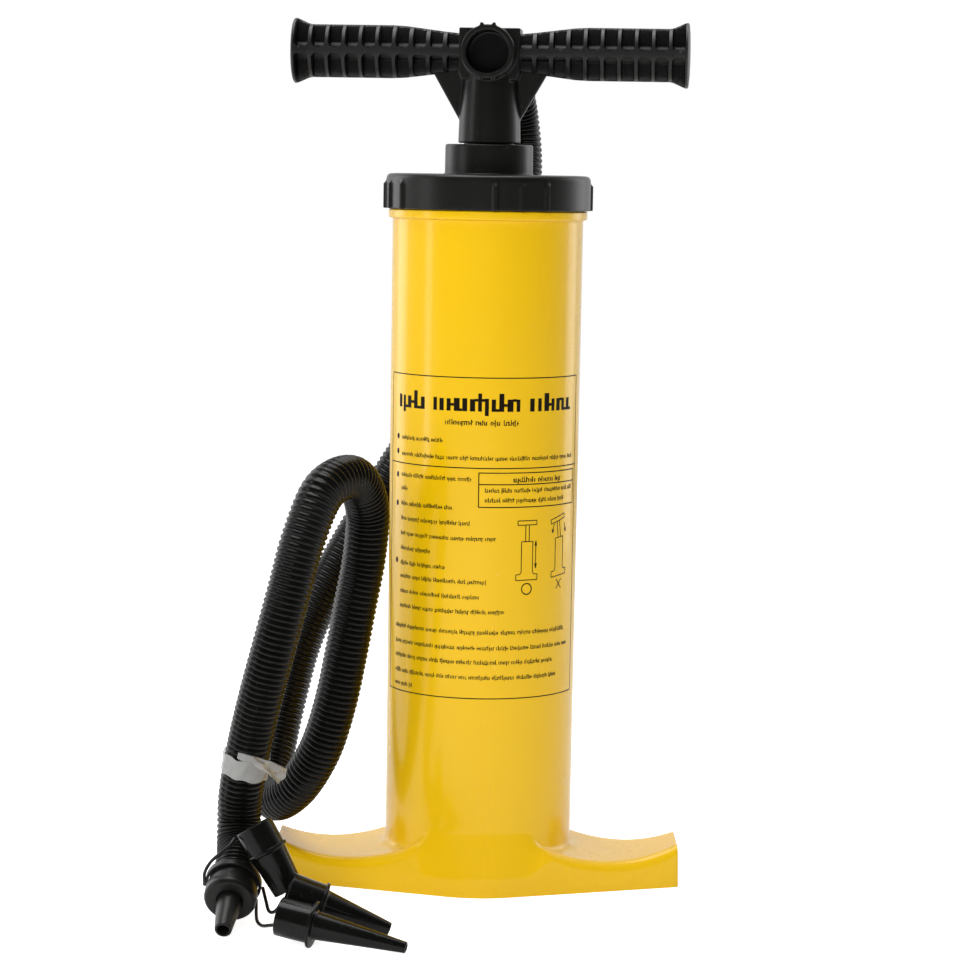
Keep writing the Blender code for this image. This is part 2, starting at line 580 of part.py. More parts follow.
def even_points(curve, spacing):
    """Points at even distances along the curve, both ends included."""
    lengths = [0.0]
    for near, far in zip(curve, curve[1:]):
        lengths.append(lengths[-1] + (far - near).length)
    count = max(2, round(lengths[-1] / spacing))
    points = []
    index = 0
    for step in range(count + 1):
        target = lengths[-1] * step / count
        while index < len(curve) - 2 and lengths[index + 1] < target:
            index += 1
        share = (target - lengths[index]) / (lengths[index + 1] - lengths[index])
        points.append(curve[index].lerp(curve[index + 1], min(1.0, share)))
    return points


def make_cord(name, route, radius, spacing, finish, resolution):
    points = even_points(smooth_curve(route), spacing)
    curve = bpy.data.curves.new(name, "CURVE")
    curve.dimensions = "3D"
    curve.bevel_depth = radius
    curve.bevel_resolution = resolution
    curve.use_fill_caps = True
    spline = curve.splines.new("POLY")
    spline.points.add(len(points) - 1)
    for slot, point in zip(spline.points, points):
        slot.co = (*point, 1.0)
    curve.materials.append(finish)
    cord = bpy.data.objects.new(name, curve)
    bpy.context.scene.collection.objects.link(cord)
    return points


def aimed(name, outline, base, tip, finish, steps=20):
    """A turned piece that stands at base and points towards tip."""
    obj = turned(name, outline, finish, steps=steps, location=base)
    direction = Vector(tip) - Vector(base)
    obj.rotation_euler = direction.to_track_quat("Z", "Y").to_euler()
    return obj


def make_hose_connector(finish, parent):
    outline = [
        (0.0085, PORT_REACH - PORT_DEPTH + 0.0020), (PORT_BORE - GAP - 0.0004, PORT_REACH - PORT_DEPTH + 0.0020),
        (PORT_BORE - GAP, PORT_REACH + GAP), (0.0150, PORT_REACH + GAP), (0.0150, PORT_REACH + 0.0035),
        (0.0132, PORT_REACH + 0.0045), (0.0132, CONNECTOR_END), (0.0085, CONNECTOR_END),
    ]
    turned("hose_connector", outline, finish, parent, steps=24, axis="Y", location=(0.0, 0.0, HANDLE_Z))


def nozzle_outline(socket_radius, socket_length, flange_radius, cone_radius, tip_radius, length, bore, tip_bore):
    """Half-section of a slip-on nozzle: socket, thin flange, then a cone to the open tip."""
    return [
        (socket_radius - 0.0018, 0.0), (socket_radius, 0.0), (socket_radius, socket_length),
        (flange_radius, socket_length), (flange_radius, socket_length + 0.0016),
        (cone_radius, socket_length + 0.0020), (tip_radius, length), (tip_bore, length),
        (bore, socket_length + 0.0020), (socket_radius - 0.0018, socket_length - 0.0010),
    ]


def make_nozzles(finish):
    cuff = [
        (0.0100, 0.0008), (0.0126, 0.0008), (0.0130, 0.0018), (0.0130, 0.0120), (0.0139, 0.0128),
        (0.0139, 0.0190), (0.0126, 0.0208), (0.0085, CUFF_LENGTH), (0.0070, CUFF_LENGTH), (0.0070, 0.0030),
        (0.0100, 0.0030),
    ]
    aimed("hose_cuff", cuff, CUFF_BASE, NOZZLE_TIP, finish, steps=24)
    axis = (Vector(NOZZLE_TIP) - Vector(CUFF_BASE)).normalized()
    reach = (Vector(NOZZLE_TIP) - Vector(CUFF_BASE)).length
    fitted = [(0.0048, 0.0080), (0.0067, 0.0080), (0.0067, CUFF_LENGTH + 0.0001), (0.0066, CUFF_LENGTH + 0.0030),
              (0.0044, reach), (0.0031, reach)]
    aimed("nozzle_fitted", fitted, CUFF_BASE, NOZZLE_TIP, finish, steps=20)
    ring_base = Vector(CUFF_BASE) + axis * 0.0035
    ring = [(0.0133, 0.0), (0.0144, 0.0), (0.0144, 0.0050), (0.0133, 0.0050)]
    aimed("keeper_ring", ring, ring_base, NOZZLE_TIP, finish, steps=24)

    wide = nozzle_outline(0.0102, 0.0142, 0.0112, 0.0098, 0.0082, 0.0385, 0.0084, 0.0068)
    aimed("nozzle_wide", wide, (-0.1176, -0.1190, 0.0526), (-0.0991, -0.1235, 0.0207), finish)
    long_cone = nozzle_outline(0.0100, 0.0178, 0.0122, 0.0075, 0.0029, 0.0685, 0.0056, 0.0017)
    aimed("nozzle_long", long_cone, (-0.1010, -0.1607, 0.0150), (-0.0353, -0.1756, 0.0035), finish)
    short_cone = nozzle_outline(0.0100, 0.0180, 0.0113, 0.0078, 0.0034, 0.0568, 0.0060, 0.0021)
    aimed("nozzle_cone", short_cone, (-0.0979, -0.1420, 0.0237), (-0.0449, -0.1399, 0.0038), finish)


def make_lanyards(finish):
    """Cords from three places round the keeper ring to the loose nozzles."""
    routes = {
        "lanyard_wide": [(-0.1437, -0.1140, 0.0194), (-0.1428, -0.1215, 0.0280), (-0.1392, -0.1250, 0.0345),
                         (-0.1340, -0.1262, 0.0395), (-0.1295, -0.1248, 0.0432), (-0.1272, -0.1215, 0.0462)],
        "lanyard_long": [(-0.1164, -0.1119, 0.0112), (-0.1150, -0.1290, 0.0065), (-0.1135, -0.1390, 0.0060),
                         (-0.1105, -0.1480, 0.0065), (-0.1065, -0.1550, 0.0085), (-0.1032, -0.1594, 0.0100)],
        "lanyard_cone": [(-0.1128, -0.1157, 0.0187), (-0.1105, -0.1230, 0.0135), (-0.1085, -0.1300, 0.0100),
                         (-0.1060, -0.1355, 0.0105), (-0.1035, -0.1388, 0.0130), (-0.1015, -0.1402, 0.0166)],
    }
    for name, route in routes.items():
        make_cord(name, route, LANYARD_RADIUS, 0.0040, finish, 2)


def make_tie(points, finish):
    """A clear band wound round the last run of the hose."""
    index = round(TIE_STATION * (len(points) - 1))
    centre = points[index]
    ahead = points[index + 1] - points[index - 1]
    band = [(HOSE_RADIUS + GAP, -0.0060), (HOSE_RADIUS + 0.0011, -0.0060),
            (HOSE_RADIUS + 0.0011, 0.0060), (HOSE_RADIUS + GAP, 0.0060)]
    aimed("tie_band", band, centre, centre + ahead, finish, steps=20)


def main():
    clear_scene()
    yellow = plastic("yellow_plastic", (0.86, 0.50, 0.015), 0.28)
    black = plastic("black_plastic", (0.012, 0.012, 0.012), 0.42)
    hose_black = plastic("hose_plastic", (0.010, 0.010, 0.010), 0.38)
    rubber = plastic("seal_rubber", (0.02, 0.02, 0.02), 0.7)
    bush = plastic("bush_plastic", (0.75, 0.74, 0.70), 0.4)
    piston = plastic("piston_plastic", (0.08, 0.08, 0.085), 0.45)
    clear = plastic("clear_film", (0.75, 0.75, 0.72), 0.15)
    screw_steel = steel("screw_steel")

    make_barrel(yellow)
    make_foot_base(yellow)
    cap_axis = add_empty("cap_axis", location=(0.0, 0.0, 0.0))
    make_cap(black, cap_axis)
    make_rod_guide(bush, rubber, black, cap_axis)
    handle_axis = add_empty("handle_axis")
    handle_axis.rotation_euler = (0.0, 0.0, HANDLE_TURN)
    make_rod(black, handle_axis)
    make_piston(piston, rubber, screw_steel, handle_axis)
    make_valves(rubber, piston, handle_axis)
    make_hub(black, handle_axis)
    make_grip("grip_right", 1, black, handle_axis)
    make_grip("grip_left", -1, black, handle_axis)
    make_hose_connector(black, handle_axis)
    points = make_cord("hose", HOSE_ROUTE, HOSE_RADIUS, HOSE_SPACING, hose_black, 2)
    make_nozzles(black)
    make_lanyards(black)
    make_tie(points, clear)


main()
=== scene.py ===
import math

import bmesh
import bpy
import numpy as np
from mathutils import Matrix, Vector


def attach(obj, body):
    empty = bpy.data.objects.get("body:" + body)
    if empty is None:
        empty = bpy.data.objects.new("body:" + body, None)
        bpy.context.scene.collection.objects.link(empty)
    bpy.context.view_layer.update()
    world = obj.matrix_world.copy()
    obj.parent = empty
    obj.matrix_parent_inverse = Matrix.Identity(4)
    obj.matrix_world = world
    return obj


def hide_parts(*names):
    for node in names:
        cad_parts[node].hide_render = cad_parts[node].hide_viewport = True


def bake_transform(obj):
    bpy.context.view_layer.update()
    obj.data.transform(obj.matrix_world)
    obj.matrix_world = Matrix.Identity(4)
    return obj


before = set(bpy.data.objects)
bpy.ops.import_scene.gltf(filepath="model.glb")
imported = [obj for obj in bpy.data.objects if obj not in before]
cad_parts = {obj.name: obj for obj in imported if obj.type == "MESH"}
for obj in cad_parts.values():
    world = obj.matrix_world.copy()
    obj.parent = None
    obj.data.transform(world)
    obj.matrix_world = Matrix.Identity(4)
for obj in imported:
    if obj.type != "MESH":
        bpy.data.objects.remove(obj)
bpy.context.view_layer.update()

rng = np.random.default_rng(11)


# Meshes from arrays

def linked(name, data):
    # a new object in the scene that shows the given data
    piece = bpy.data.objects.new(name, data)
    bpy.context.scene.collection.objects.link(piece)
    return piece


def eased(share):
    # a share from 0 to 1 that starts and ends gently: 3s^2 - 2s^3
    return share * share * (3 - 2 * share)


def gridFaces(rows, columns, closeRows=False, closeColumns=False):
    # quads between neighbouring rows and columns of a grid stored row after row
    r = np.arange(rows if closeRows else rows - 1)[:, None]
    c = np.arange(columns if closeColumns else columns - 1)[None, :]
    nextRow = (r + 1) % rows
    nextColumn = (c + 1) % columns
    corners = np.stack([r * columns + c, r * columns + nextColumn,
                        nextRow * columns + nextColumn, nextRow * columns + c], axis=-1)
    return corners.reshape(-1, 4)


def placeMesh(name, points, faces, sharp=38.0, paintedShade=None):
    # points and faces into one mesh, doubles merged at the poles, faces turned outwards;
    # the optional shade values mark points that lie deep in a recess, where the finish paints shade into the
    # colour
    mesh = bpy.data.meshes.new(name)
    mesh.from_pydata(np.asarray(points).reshape(-1, 3).tolist(), [], [list(face) for face in faces])
    if paintedShade is not None:
        mesh.attributes.new("paintedShade", "FLOAT", "POINT").data.foreach_set("value", np.ravel(paintedShade))
    bm = bmesh.new()
    bm.from_mesh(mesh)
    bmesh.ops.remove_doubles(bm, verts=bm.verts, dist=2e-7)
    bmesh.ops.dissolve_degenerate(bm, dist=1e-7, edges=bm.edges)
    bmesh.ops.recalc_face_normals(bm, faces=bm.faces)
    bm.to_mesh(mesh)
    bm.free()
    mesh.shade_smooth()
    mesh.set_sharp_from_angle(angle=math.radians(sharp))
    return linked(name, mesh)


def roundedOutline(corners, closed=True, steps=4):
    # each (radius, height, round) corner becomes a quadratic curve that starts and ends
    # that far along its two sides
    points = np.array([corner[:2] for corner in corners], float)
    rounds = np.array([corner[2] for corner in corners], float)
    before = np.roll(points, 1, axis=0) - points
    after = np.roll(points, -1, axis=0) - points
    lengthBefore = np.linalg.norm(before, axis=1)
    lengthAfter = np.linalg.norm(after, axis=1)
    reach = np.minimum(rounds, 0.48 * np.minimum(lengthBefore, lengthAfter))
    if not closed:
        reach[0] = reach[-1] = 0.0
    start = points + before / np.maximum(lengthBefore, 1e-9)[:, None] * reach[:, None]
    end = points + after / np.maximum(lengthAfter, 1e-9)[:, None] * reach[:, None]
    t = np.linspace(0.0, 1.0, steps + 1)[None, :, None]
    curve = start[:, None] * (1 - t) ** 2 + points[:, None] * 2 * t * (1 - t) + end[:, None] * t ** 2
    flat = curve.reshape(-1, 2)
    keep = np.ones(len(flat), bool)
    keep[1:] = np.linalg.norm(np.diff(flat, axis=0), axis=1) > 1e-7
    return flat[keep]


def turnedPoints(outline, segments):
    # the outline's radius goes round the Z axis: x = r cos a, y = r sin a, z = height
    angle = np.linspace(0.0, math.tau, segments, endpoint=False)[None, :]
    radius = outline[:, 0][:, None]
    height = np.repeat(outline[:, 1][:, None], segments, axis=1)
    return np.stack([radius * np.cos(angle), radius * np.sin(angle), height], axis=-1)


def turnedPiece(name, corners, segments=96, place=Matrix.Identity(4), steps=4):
    # an outline that starts and ends on the axis has poles there, any other is a ring
    poles = corners[0][0] < 1e-9 and corners[-1][0] < 1e-9
    outline = roundedOutline(corners, closed=not poles, steps=steps)
    points = turnedPoints(outline, segments)
    faces = gridFaces(len(outline), segments, closeRows=not poles, closeColumns=True)
    piece = placeMesh(name, points, faces)
    piece.data.transform(place)
    return piece


def aimedPlace(base, tip):
    # local +Z runs from base to tip
    direction = (Vector(tip) - Vector(base)).normalized()
    return Matrix.Translation(base) @ direction.to_track_quat("Z", "Y").to_matrix().to_4x4()


def joinedGrids(*grids):
    # several (points, faces) pairs as one pair
    points, faces, count = [], [], 0
    for gridPoints, gridQuads in grids:
        flat = np.asarray(gridPoints).reshape(-1, 3)
        points.append(flat)
        faces += [[int(corner) + count for corner in face] for face in gridQuads]
        count += len(flat)
    return np.vstack(points), faces


def turnedGrid(corners, segments, axis="Z", steps=4):
    # a turned outline about Z, or laid along Y
    outline = roundedOutline(corners, closed=False, steps=steps)
    points = turnedPoints(outline, segments)
    if axis == "Y":
        points = points[..., [0, 2, 1]]
    return points, gridFaces(len(outline), segments, closeColumns=True)


def prismGrid(outline, low, high):
    # an outline in X and Z, carried along Y from low to high, with flat ends
    flat = np.array(outline, float)
    count = len(flat)
    rings = np.stack([np.stack([flat[:, 0], np.full(count, y), flat[:, 1]], axis=-1) for y in (low, high)])
    ends = [list(range(count))[::-1], list(range(count, 2 * count))]
    return rings, gridFaces(2, count, closeColumns=True).tolist() + ends


def blendedUnion(name, grids, cutters, voxel, passes):
    # overlapping closed grids become one skin on an even mesh, the cutters are taken out of it,
    # and a few passes of relaxing give every edge and corner a moulded radius
    body = placeMesh(name, *joinedGrids(*grids))
    tool = placeMesh(name + "Cutter", *joinedGrids(*cutters))

    def applied(*steps):
        for kind, values in steps:
            modifier = body.modifiers.new(kind.lower(), kind)
            for key, value in values.items():
                setattr(modifier, key, value)
        bpy.context.view_layer.update()
        graph = bpy.context.evaluated_depsgraph_get()
        finished = bpy.data.meshes.new_from_object(body.evaluated_get(graph))
        body.modifiers.clear()
        body.data = finished

    even = ("REMESH", {"mode": "VOXEL", "voxel_size": voxel})
    applied(even)
    applied(("BOOLEAN", {"operation": "DIFFERENCE", "object": tool, "solver": "MANIFOLD"}))
    applied(even, ("SMOOTH", {"factor": 0.5, "iterations": passes}))
    bpy.data.objects.remove(tool, do_unlink=True)
    body.data.shade_smooth()
    body.data.set_sharp_from_angle(angle=math.radians(60.0))
    return body


# Camera, lights and floor

view = {"distance": 1.667, "height": 0.3986, "lookDown": 6.02, "roll": 0.98, "lens": 111.7}


def makeCamera():
    data = bpy.data.cameras.new("camera")
    data.lens = view["lens"]
    data.sensor_width = 36.0
    camera = linked("camera", data)
    tilt = Matrix.Rotation(math.radians(90.0 - view["lookDown"]), 4, "X")
    roll = Matrix.Rotation(math.radians(view["roll"]), 4, "Z")
    camera.matrix_world = Matrix.Translation((0.0, -view["distance"], view["height"])) @ tilt @ roll
    bpy.context.scene.camera = camera


lights = {
    "backLeftPanel": {"at": (-1.15, 0.75, 0.45), "to": (0.0, 0.0, 0.24), "size": (0.55, 1.5), "watts": 5.0,
                      "shine": True},
    "backRightPanel": {"at": (1.20, 0.80, 0.50), "to": (0.0, 0.0, 0.24), "size": (0.55, 1.5), "watts": 5.0,
                       "shine": True},
    "leftStrip": {"at": (-1.5, -0.45, 0.5), "to": (0.0, 0.0, 0.24), "size": (0.25, 1.3), "watts": 3.5,
                  "shine": True},
    "overhead": {"at": (-0.15, 0.10, 1.60), "to": (0.0, 0.0, 0.2), "size": (1.3, 0.9), "watts": 16.0,
                 "shine": True},
    "frontFill": {"at": (-0.45, -2.3, 1.0), "to": (0.0, 0.0, 0.25), "size": (1.4, 1.0), "watts": 28.5,
                  "shine": False},
}
surround = {
    "glow": 0.28, "mirroredFront": 0.05, "mirroredBack": 0.9, "frontEdge": -0.25, "backEdge": 0.35,
    "backdrop": 1.0, "paper": 0.86, "paperLift": 0.80, "paperMirrored": 0.2,
    "paperX": (-7.0, 7.0), "paperY": (-4.0, 2.5),
}


def rayShare(nodes, links, seen, mirrored, received):
    # one value for what the camera sees directly, one for what glossy surfaces mirror and one
    # for the light that everything receives
    path = nodes.new("ShaderNodeLightPath")
    value = received
    for share, output in ((mirrored, "Is Glossy Ray"), (seen, "Is Camera Ray")):
        mix = nodes.new("ShaderNodeMix")
        for socket, amount in (("A", value), ("B", share)):
            if isinstance(amount, float):
                mix.inputs[socket].default_value = amount
            else:
                links.new(amount, mix.inputs[socket])
        links.new(path.outputs[output], mix.inputs["Factor"])
        value = mix.outputs["Result"]
    return value


def makeLights():
    for name, spec in lights.items():
        data = bpy.data.lights.new(name, "AREA")
        data.shape = "RECTANGLE"
        data.size, data.size_y = spec["size"]
        data.energy = spec["watts"]
        lamp = linked(name, data)
        lamp.visible_glossy = spec["shine"]
        direction = Vector(spec["to"]) - Vector(spec["at"])
        turn = direction.to_track_quat("-Z", "Y").to_matrix().to_4x4()
        lamp.matrix_world = Matrix.Translation(spec["at"]) @ turn
    world = bpy.data.worlds.new("studio")
    world.use_nodes = True
    nodes, links = world.node_tree.nodes, world.node_tree.links
    nodes["Background"].inputs["Color"].default_value = (1.0, 1.0, 1.0, 1.0)
    place = nodes.new("ShaderNodeTexCoord")
    split = nodes.new("ShaderNodeSeparateXYZ")
    ramp = nodes.new("ShaderNodeMapRange")
    for name, key in (("From Min", "frontEdge"), ("From Max", "backEdge"), ("To Min", "mirroredFront"),
                      ("To Max", "mirroredBack")):
        ramp.inputs[name].default_value = surround[key]
    links.new(place.outputs["Generated"], split.inputs[0])
    links.new(split.outputs["Y"], ramp.inputs["Value"])
    links.new(rayShare(nodes, links, surround["backdrop"], ramp.outputs["Result"], surround["glow"]),
              nodes["Background"].inputs["Strength"])
    bpy.context.scene.world = world
    bpy.context.scene.view_settings.view_transform = "Standard"


def makeFloor():
    # a flat sheet of pale paper; beyond its far edge the world is as white as the paper
    across, along = np.array(surround["paperX"]), np.array(surround["paperY"])
    points = np.stack(np.broadcast_arrays(across[None, :], along[:, None], 0.0), axis=-1)
    mesh = bpy.data.meshes.new("paperSheet")
    mesh.from_pydata(points.reshape(-1, 3).tolist(), [], gridFaces(2, 2).tolist())
    floor = linked("paperSheet", mesh)
    material = bpy.data.materials.new("paper")
    material.use_nodes = True
    nodes, links = material.node_tree.nodes, material.node_tree.links
    shader = nodes["Principled BSDF"]
    shader.inputs["Base Color"].default_value = (*[surround["paper"]] * 3, 1.0)
    shader.inputs["Roughness"].default_value = 0.9
    shader.inputs["Specular IOR Level"].default_value = 0.1
    shader.inputs["Emission Color"].default_value = (1.0, 1.0, 1.0, 1.0)
    lift = rayShare(nodes, links, surround["paperLift"], surround["paperMirrored"], 0.0)
    links.new(lift, shader.inputs["Emission Strength"])
    mesh.materials.append(material)


# Materials

def makeSurfaceGroup():
    # fine moulding grain, faint flow waves and handling marks, as colour, roughness and height
    group = bpy.data.node_groups.new("mouldedSkin", "ShaderNodeTree")
    sockets = (
        ("INPUT", "Color", ("Base", "Dust Colour")),
        ("INPUT", "Float", ("Roughness", "Grain Scale", "Grain", "Marks", "Dust")),
        ("OUTPUT", "Color", ("Color",)),
        ("OUTPUT", "Float", ("Roughness", "Height")),
    )
    for side, kind, names in sockets:
        for name in names:
            group.interface.new_socket(name, in_out=side, socket_type="NodeSocket" + kind)
    nodes, links = group.nodes, group.links
    entry = nodes.new("NodeGroupInput")
    leave = nodes.new("NodeGroupOutput")
    place = nodes.new("ShaderNodeTexCoord")

    def mathNode(kind, a, b, clamp=False):
        node = nodes.new("ShaderNodeMath")
        node.operation = kind
        node.use_clamp = clamp
        for socket, value in zip(node.inputs, (a, b)):
            if isinstance(value, (int, float)):
                socket.default_value = value
            else:
                links.new(value, socket)
        return node.outputs[0]

    def noise(scale, detail, stretch=None):
        node = nodes.new("ShaderNodeTexNoise")
        node.inputs["Detail"].default_value = detail
        if isinstance(scale, (int, float)):
            node.inputs["Scale"].default_value = scale
        else:
            links.new(scale, node.inputs["Scale"])
        if stretch:
            mapping = nodes.new("ShaderNodeMapping")
            mapping.inputs["Scale"].default_value = stretch
            links.new(place.outputs["Object"], mapping.inputs["Vector"])
            links.new(mapping.outputs["Vector"], node.inputs["Vector"])
        else:
            links.new(place.outputs["Object"], node.inputs["Vector"])
        return node.outputs["Fac"]

    grain = noise(entry.outputs["Grain Scale"], 3.0)
    clouds = noise(16.0, 3.0)
    streaks = noise(70.0, 4.0, stretch=(1.0, 1.0, 0.10))
    scratches = noise(260.0, 2.0, stretch=(1.0, 0.06, 1.0))
    scratchMask = mathNode("MULTIPLY", mathNode("SUBTRACT", scratches, 0.66, True), 6.0, True)
    markMask = mathNode("MULTIPLY", scratchMask, entry.outputs["Marks"], True)
    geometry = nodes.new("ShaderNodeNewGeometry")
    split = nodes.new("ShaderNodeSeparateXYZ")
    links.new(geometry.outputs["Normal"], split.inputs[0])
    upward = mathNode("MAXIMUM", split.outputs["Z"], 0.0)
    dustCloud = mathNode("MULTIPLY", mathNode("SUBTRACT", clouds, 0.38, True), 2.2, True)
    dustMask = mathNode("MULTIPLY", mathNode("MULTIPLY", upward, dustCloud), entry.outputs["Dust"], True)
    wear = mathNode("MAXIMUM", dustMask, mathNode("MULTIPLY", markMask, 0.35), True)
    mix = nodes.new("ShaderNodeMix")
    mix.data_type = "RGBA"
    links.new(wear, mix.inputs["Factor"])
    links.new(entry.outputs["Base"], mix.inputs["A"])
    links.new(entry.outputs["Dust Colour"], mix.inputs["B"])
    links.new(mix.outputs["Result"], leave.inputs["Color"])
    uneven = mathNode("MULTIPLY", mathNode("SUBTRACT", streaks, 0.5), 0.10)
    rough = mathNode("ADD", entry.outputs["Roughness"], uneven)
    rough = mathNode("ADD", rough, mathNode("MULTIPLY", mathNode("SUBTRACT", clouds, 0.5), 0.08))
    rough = mathNode("ADD", rough, mathNode("MULTIPLY", wear, 0.35), True)
    links.new(rough, leave.inputs["Roughness"])
    height = mathNode("MULTIPLY", grain, entry.outputs["Grain"])
    height = mathNode("ADD", height, mathNode("MULTIPLY", clouds, 0.25))
    height = mathNode("SUBTRACT", height, mathNode("MULTIPLY", markMask, 0.3))
    links.new(height, leave.inputs["Height"])
    return group


def makePlastic(name, changes):
    # the moulded skin with this finish's values; recesses get painted shade, darker towards their floor
    spec = {**plainFinish, **changes}
    material = bpy.data.materials.new(name)
    material.use_nodes = True
    nodes, links = material.node_tree.nodes, material.node_tree.links
    shader = nodes["Principled BSDF"]
    skin = nodes.new("ShaderNodeGroup")
    skin.node_tree = bpy.data.node_groups["mouldedSkin"]
    bump = nodes.new("ShaderNodeBump")
    depth = nodes.new("ShaderNodeAttribute")
    depth.attribute_name = "paintedShade"
    recess = nodes.new("ShaderNodeMix")
    recess.data_type = "RGBA"
    # painted shade: the colour at a recess floor is the base colour scaled down
    recess.inputs["B"].default_value = (*[paintedShadeShare * channel for channel in spec["colour"]], 1.0)
    settings = (
        (skin, (("Base", (*spec["colour"], 1.0)), ("Dust Colour", (*spec["dustColour"], 1.0)),
                ("Roughness", spec["roughness"]), ("Grain Scale", spec["grainScale"]),
                ("Grain", spec["grain"]), ("Marks", spec["marks"]), ("Dust", spec["dust"]))),
        (bump, (("Strength", spec["bump"]), ("Distance", spec["bumpDistance"]))),
        (shader, (("Metallic", spec["metallic"]), ("Specular IOR Level", spec["specular"]),
                  ("Coat Weight", spec["coat"]), ("Coat Roughness", spec["coatRoughness"]),
                  ("Subsurface Weight", spec["scatter"]), ("Subsurface Radius", (1.0, 0.5, 0.1)),
                  ("Subsurface Scale", 0.003), ("Alpha", spec["alpha"]))),
    )
    for node, values in settings:
        for socket, value in values:
            node.inputs[socket].default_value = value
    links.new(skin.outputs["Height"], bump.inputs["Height"])
    links.new(bump.outputs["Normal"], shader.inputs["Normal"])
    links.new(skin.outputs["Roughness"], shader.inputs["Roughness"])
    links.new(depth.outputs["Fac"], recess.inputs["Factor"])
    links.new(skin.outputs["Color"], recess.inputs["A"])
    links.new(recess.outputs["Result"], shader.inputs["Base Color"])
    return material


# share of the base colour kept at the floor of a recess: painted shade
paintedShadeShare = 0.15
plainFinish = {
    "dustColour": (0.35, 0.34, 0.32), "grainScale": 900.0, "grain": 0.5, "marks": 0.3, "dust": 0.1,
    "bump": 0.12, "bumpDistance": 0.0004, "metallic": 0.0, "specular": 0.5, "coat": 0.0,
    "coatRoughness": 0.1, "scatter": 0.0, "alpha": 1.0,
}
blackDust = (0.060, 0.058, 0.052)
finishes = {
    "yellowPlastic": {
        "colour": (0.92, 0.555, 0.003), "roughness": 0.26, "specular": 0.25, "grainScale": 420.0,
        "grain": 0.25, "bump": 0.04, "marks": 0.12, "dust": 0.04, "coat": 0.30,
        "dustColour": (0.80, 0.60, 0.18), "scatter": 0.05},
    "blackPlastic": {
        "colour": (0.0062, 0.0062, 0.0055), "roughness": 0.34, "specular": 0.30, "grain": 0.8,
        "bump": 0.20, "marks": 0.5, "dustColour": blackDust},
    "nozzlePlastic": {
        "colour": (0.0036, 0.0036, 0.0033), "roughness": 0.20, "specular": 0.24, "grain": 0.6,
        "bump": 0.15, "marks": 0.6, "dust": 0.12, "dustColour": blackDust},
    "gripPlastic": {
        "colour": (0.0120, 0.0116, 0.0112), "roughness": 0.42, "specular": 0.34, "grain": 0.9,
        "bump": 0.25, "marks": 0.4, "dust": 0.12, "dustColour": blackDust},
    "hosePlastic": {
        "colour": (0.0030, 0.0030, 0.0026), "roughness": 0.24, "specular": 0.20, "grain": 0.6,
        "bump": 0.15, "marks": 0.5, "dustColour": (0.050, 0.048, 0.040)},
    "sealRubber": {"colour": (0.014, 0.014, 0.014), "roughness": 0.7, "grain": 1.0, "bump": 0.2},
    "bushPlastic": {
        "colour": (0.75, 0.74, 0.70), "roughness": 0.4, "grain": 0.4, "bump": 0.1,
        "dustColour": (0.5, 0.48, 0.44)},
    "pistonPlastic": {"colour": (0.05, 0.05, 0.053), "roughness": 0.45, "grain": 0.7, "bump": 0.2},
    "screwSteel": {"colour": (0.55, 0.55, 0.56), "roughness": 0.3, "metallic": 1.0, "bump": 0.1},
    "printInk": {
        "colour": (0.009, 0.006, 0.002), "roughness": 0.6, "specular": 0.12, "grain": 0.6,
        "bump": 0.1, "marks": 0.0, "dust": 0.0},
    "clearFilm": {
        "colour": (0.62, 0.62, 0.60), "roughness": 0.10, "grain": 0.6, "bump": 0.5,
        "bumpDistance": 0.001, "alpha": 0.40, "dust": 0.0, "marks": 0.2, "coat": 0.5},
}


def makeFinishes():
    makeSurfaceGroup()
    return {name: makePlastic(name, spec) for name, spec in finishes.items()}


def dress(piece, finish, body=None, nodes=()):
    # one piece's finish, body and the CAD nodes that it stands for
    piece.data.materials.clear()
    piece.data.materials.append(materials[finish])
    if nodes:
        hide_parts(*nodes)
    if body:
        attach(piece, body)
    return piece


# Hose and lanyards

hose = {
    "radius": 0.0120, "valley": 0.01105, "pitch": 0.0031, "ringsPerRib": 6, "around": 30, "crest": 0.55,
    "route": (
        (0.0040, 0.0503, 0.4610), (0.0056, 0.0660, 0.4608), (0.0114, 0.0910, 0.4495),
        (0.0169, 0.1068, 0.4272), (0.0194, 0.1050, 0.3995), (0.0170, 0.0963, 0.3726),
        (0.0107, 0.0891, 0.3460), (0.0014, 0.0836, 0.3199), (-0.0100, 0.0796, 0.2943),
        (-0.0228, 0.0766, 0.2692), (-0.0368, 0.0743, 0.2447), (-0.0519, 0.0715, 0.2209),
        (-0.0665, 0.0677, 0.1970), (-0.0804, 0.0631, 0.1728), (-0.0936, 0.0578, 0.1483),
        (-0.1040, 0.0521, 0.1226), (-0.1109, 0.0464, 0.0957), (-0.1164, 0.0388, 0.0691),
        (-0.1197, 0.0222, 0.0470), (-0.1137, -0.0042, 0.0422), (-0.1002, -0.0249, 0.0550),
        (-0.0876, -0.0362, 0.0775), (-0.0794, -0.0416, 0.1040), (-0.0738, -0.0442, 0.1316),
        (-0.0689, -0.0451, 0.1595), (-0.0641, -0.0460, 0.1874), (-0.0628, -0.0531, 0.2145),
        (-0.0699, -0.0729, 0.2324), (-0.0836, -0.0958, 0.2281), (-0.0936, -0.1059, 0.2042),
        (-0.1006, -0.1083, 0.1769), (-0.1077, -0.1070, 0.1495), (-0.1148, -0.1020, 0.1224),
        (-0.1213, -0.0945, 0.0954), (-0.1262, -0.0868, 0.0700), (-0.1278, -0.0834, 0.0577),
        (-0.1282, -0.0830, 0.0469), (-0.1278, -0.0877, 0.0367), (-0.1270, -0.0962, 0.0299),
        (-0.1275, -0.1039, 0.0262), (-0.1280, -0.1105, 0.0231),
    ),
}


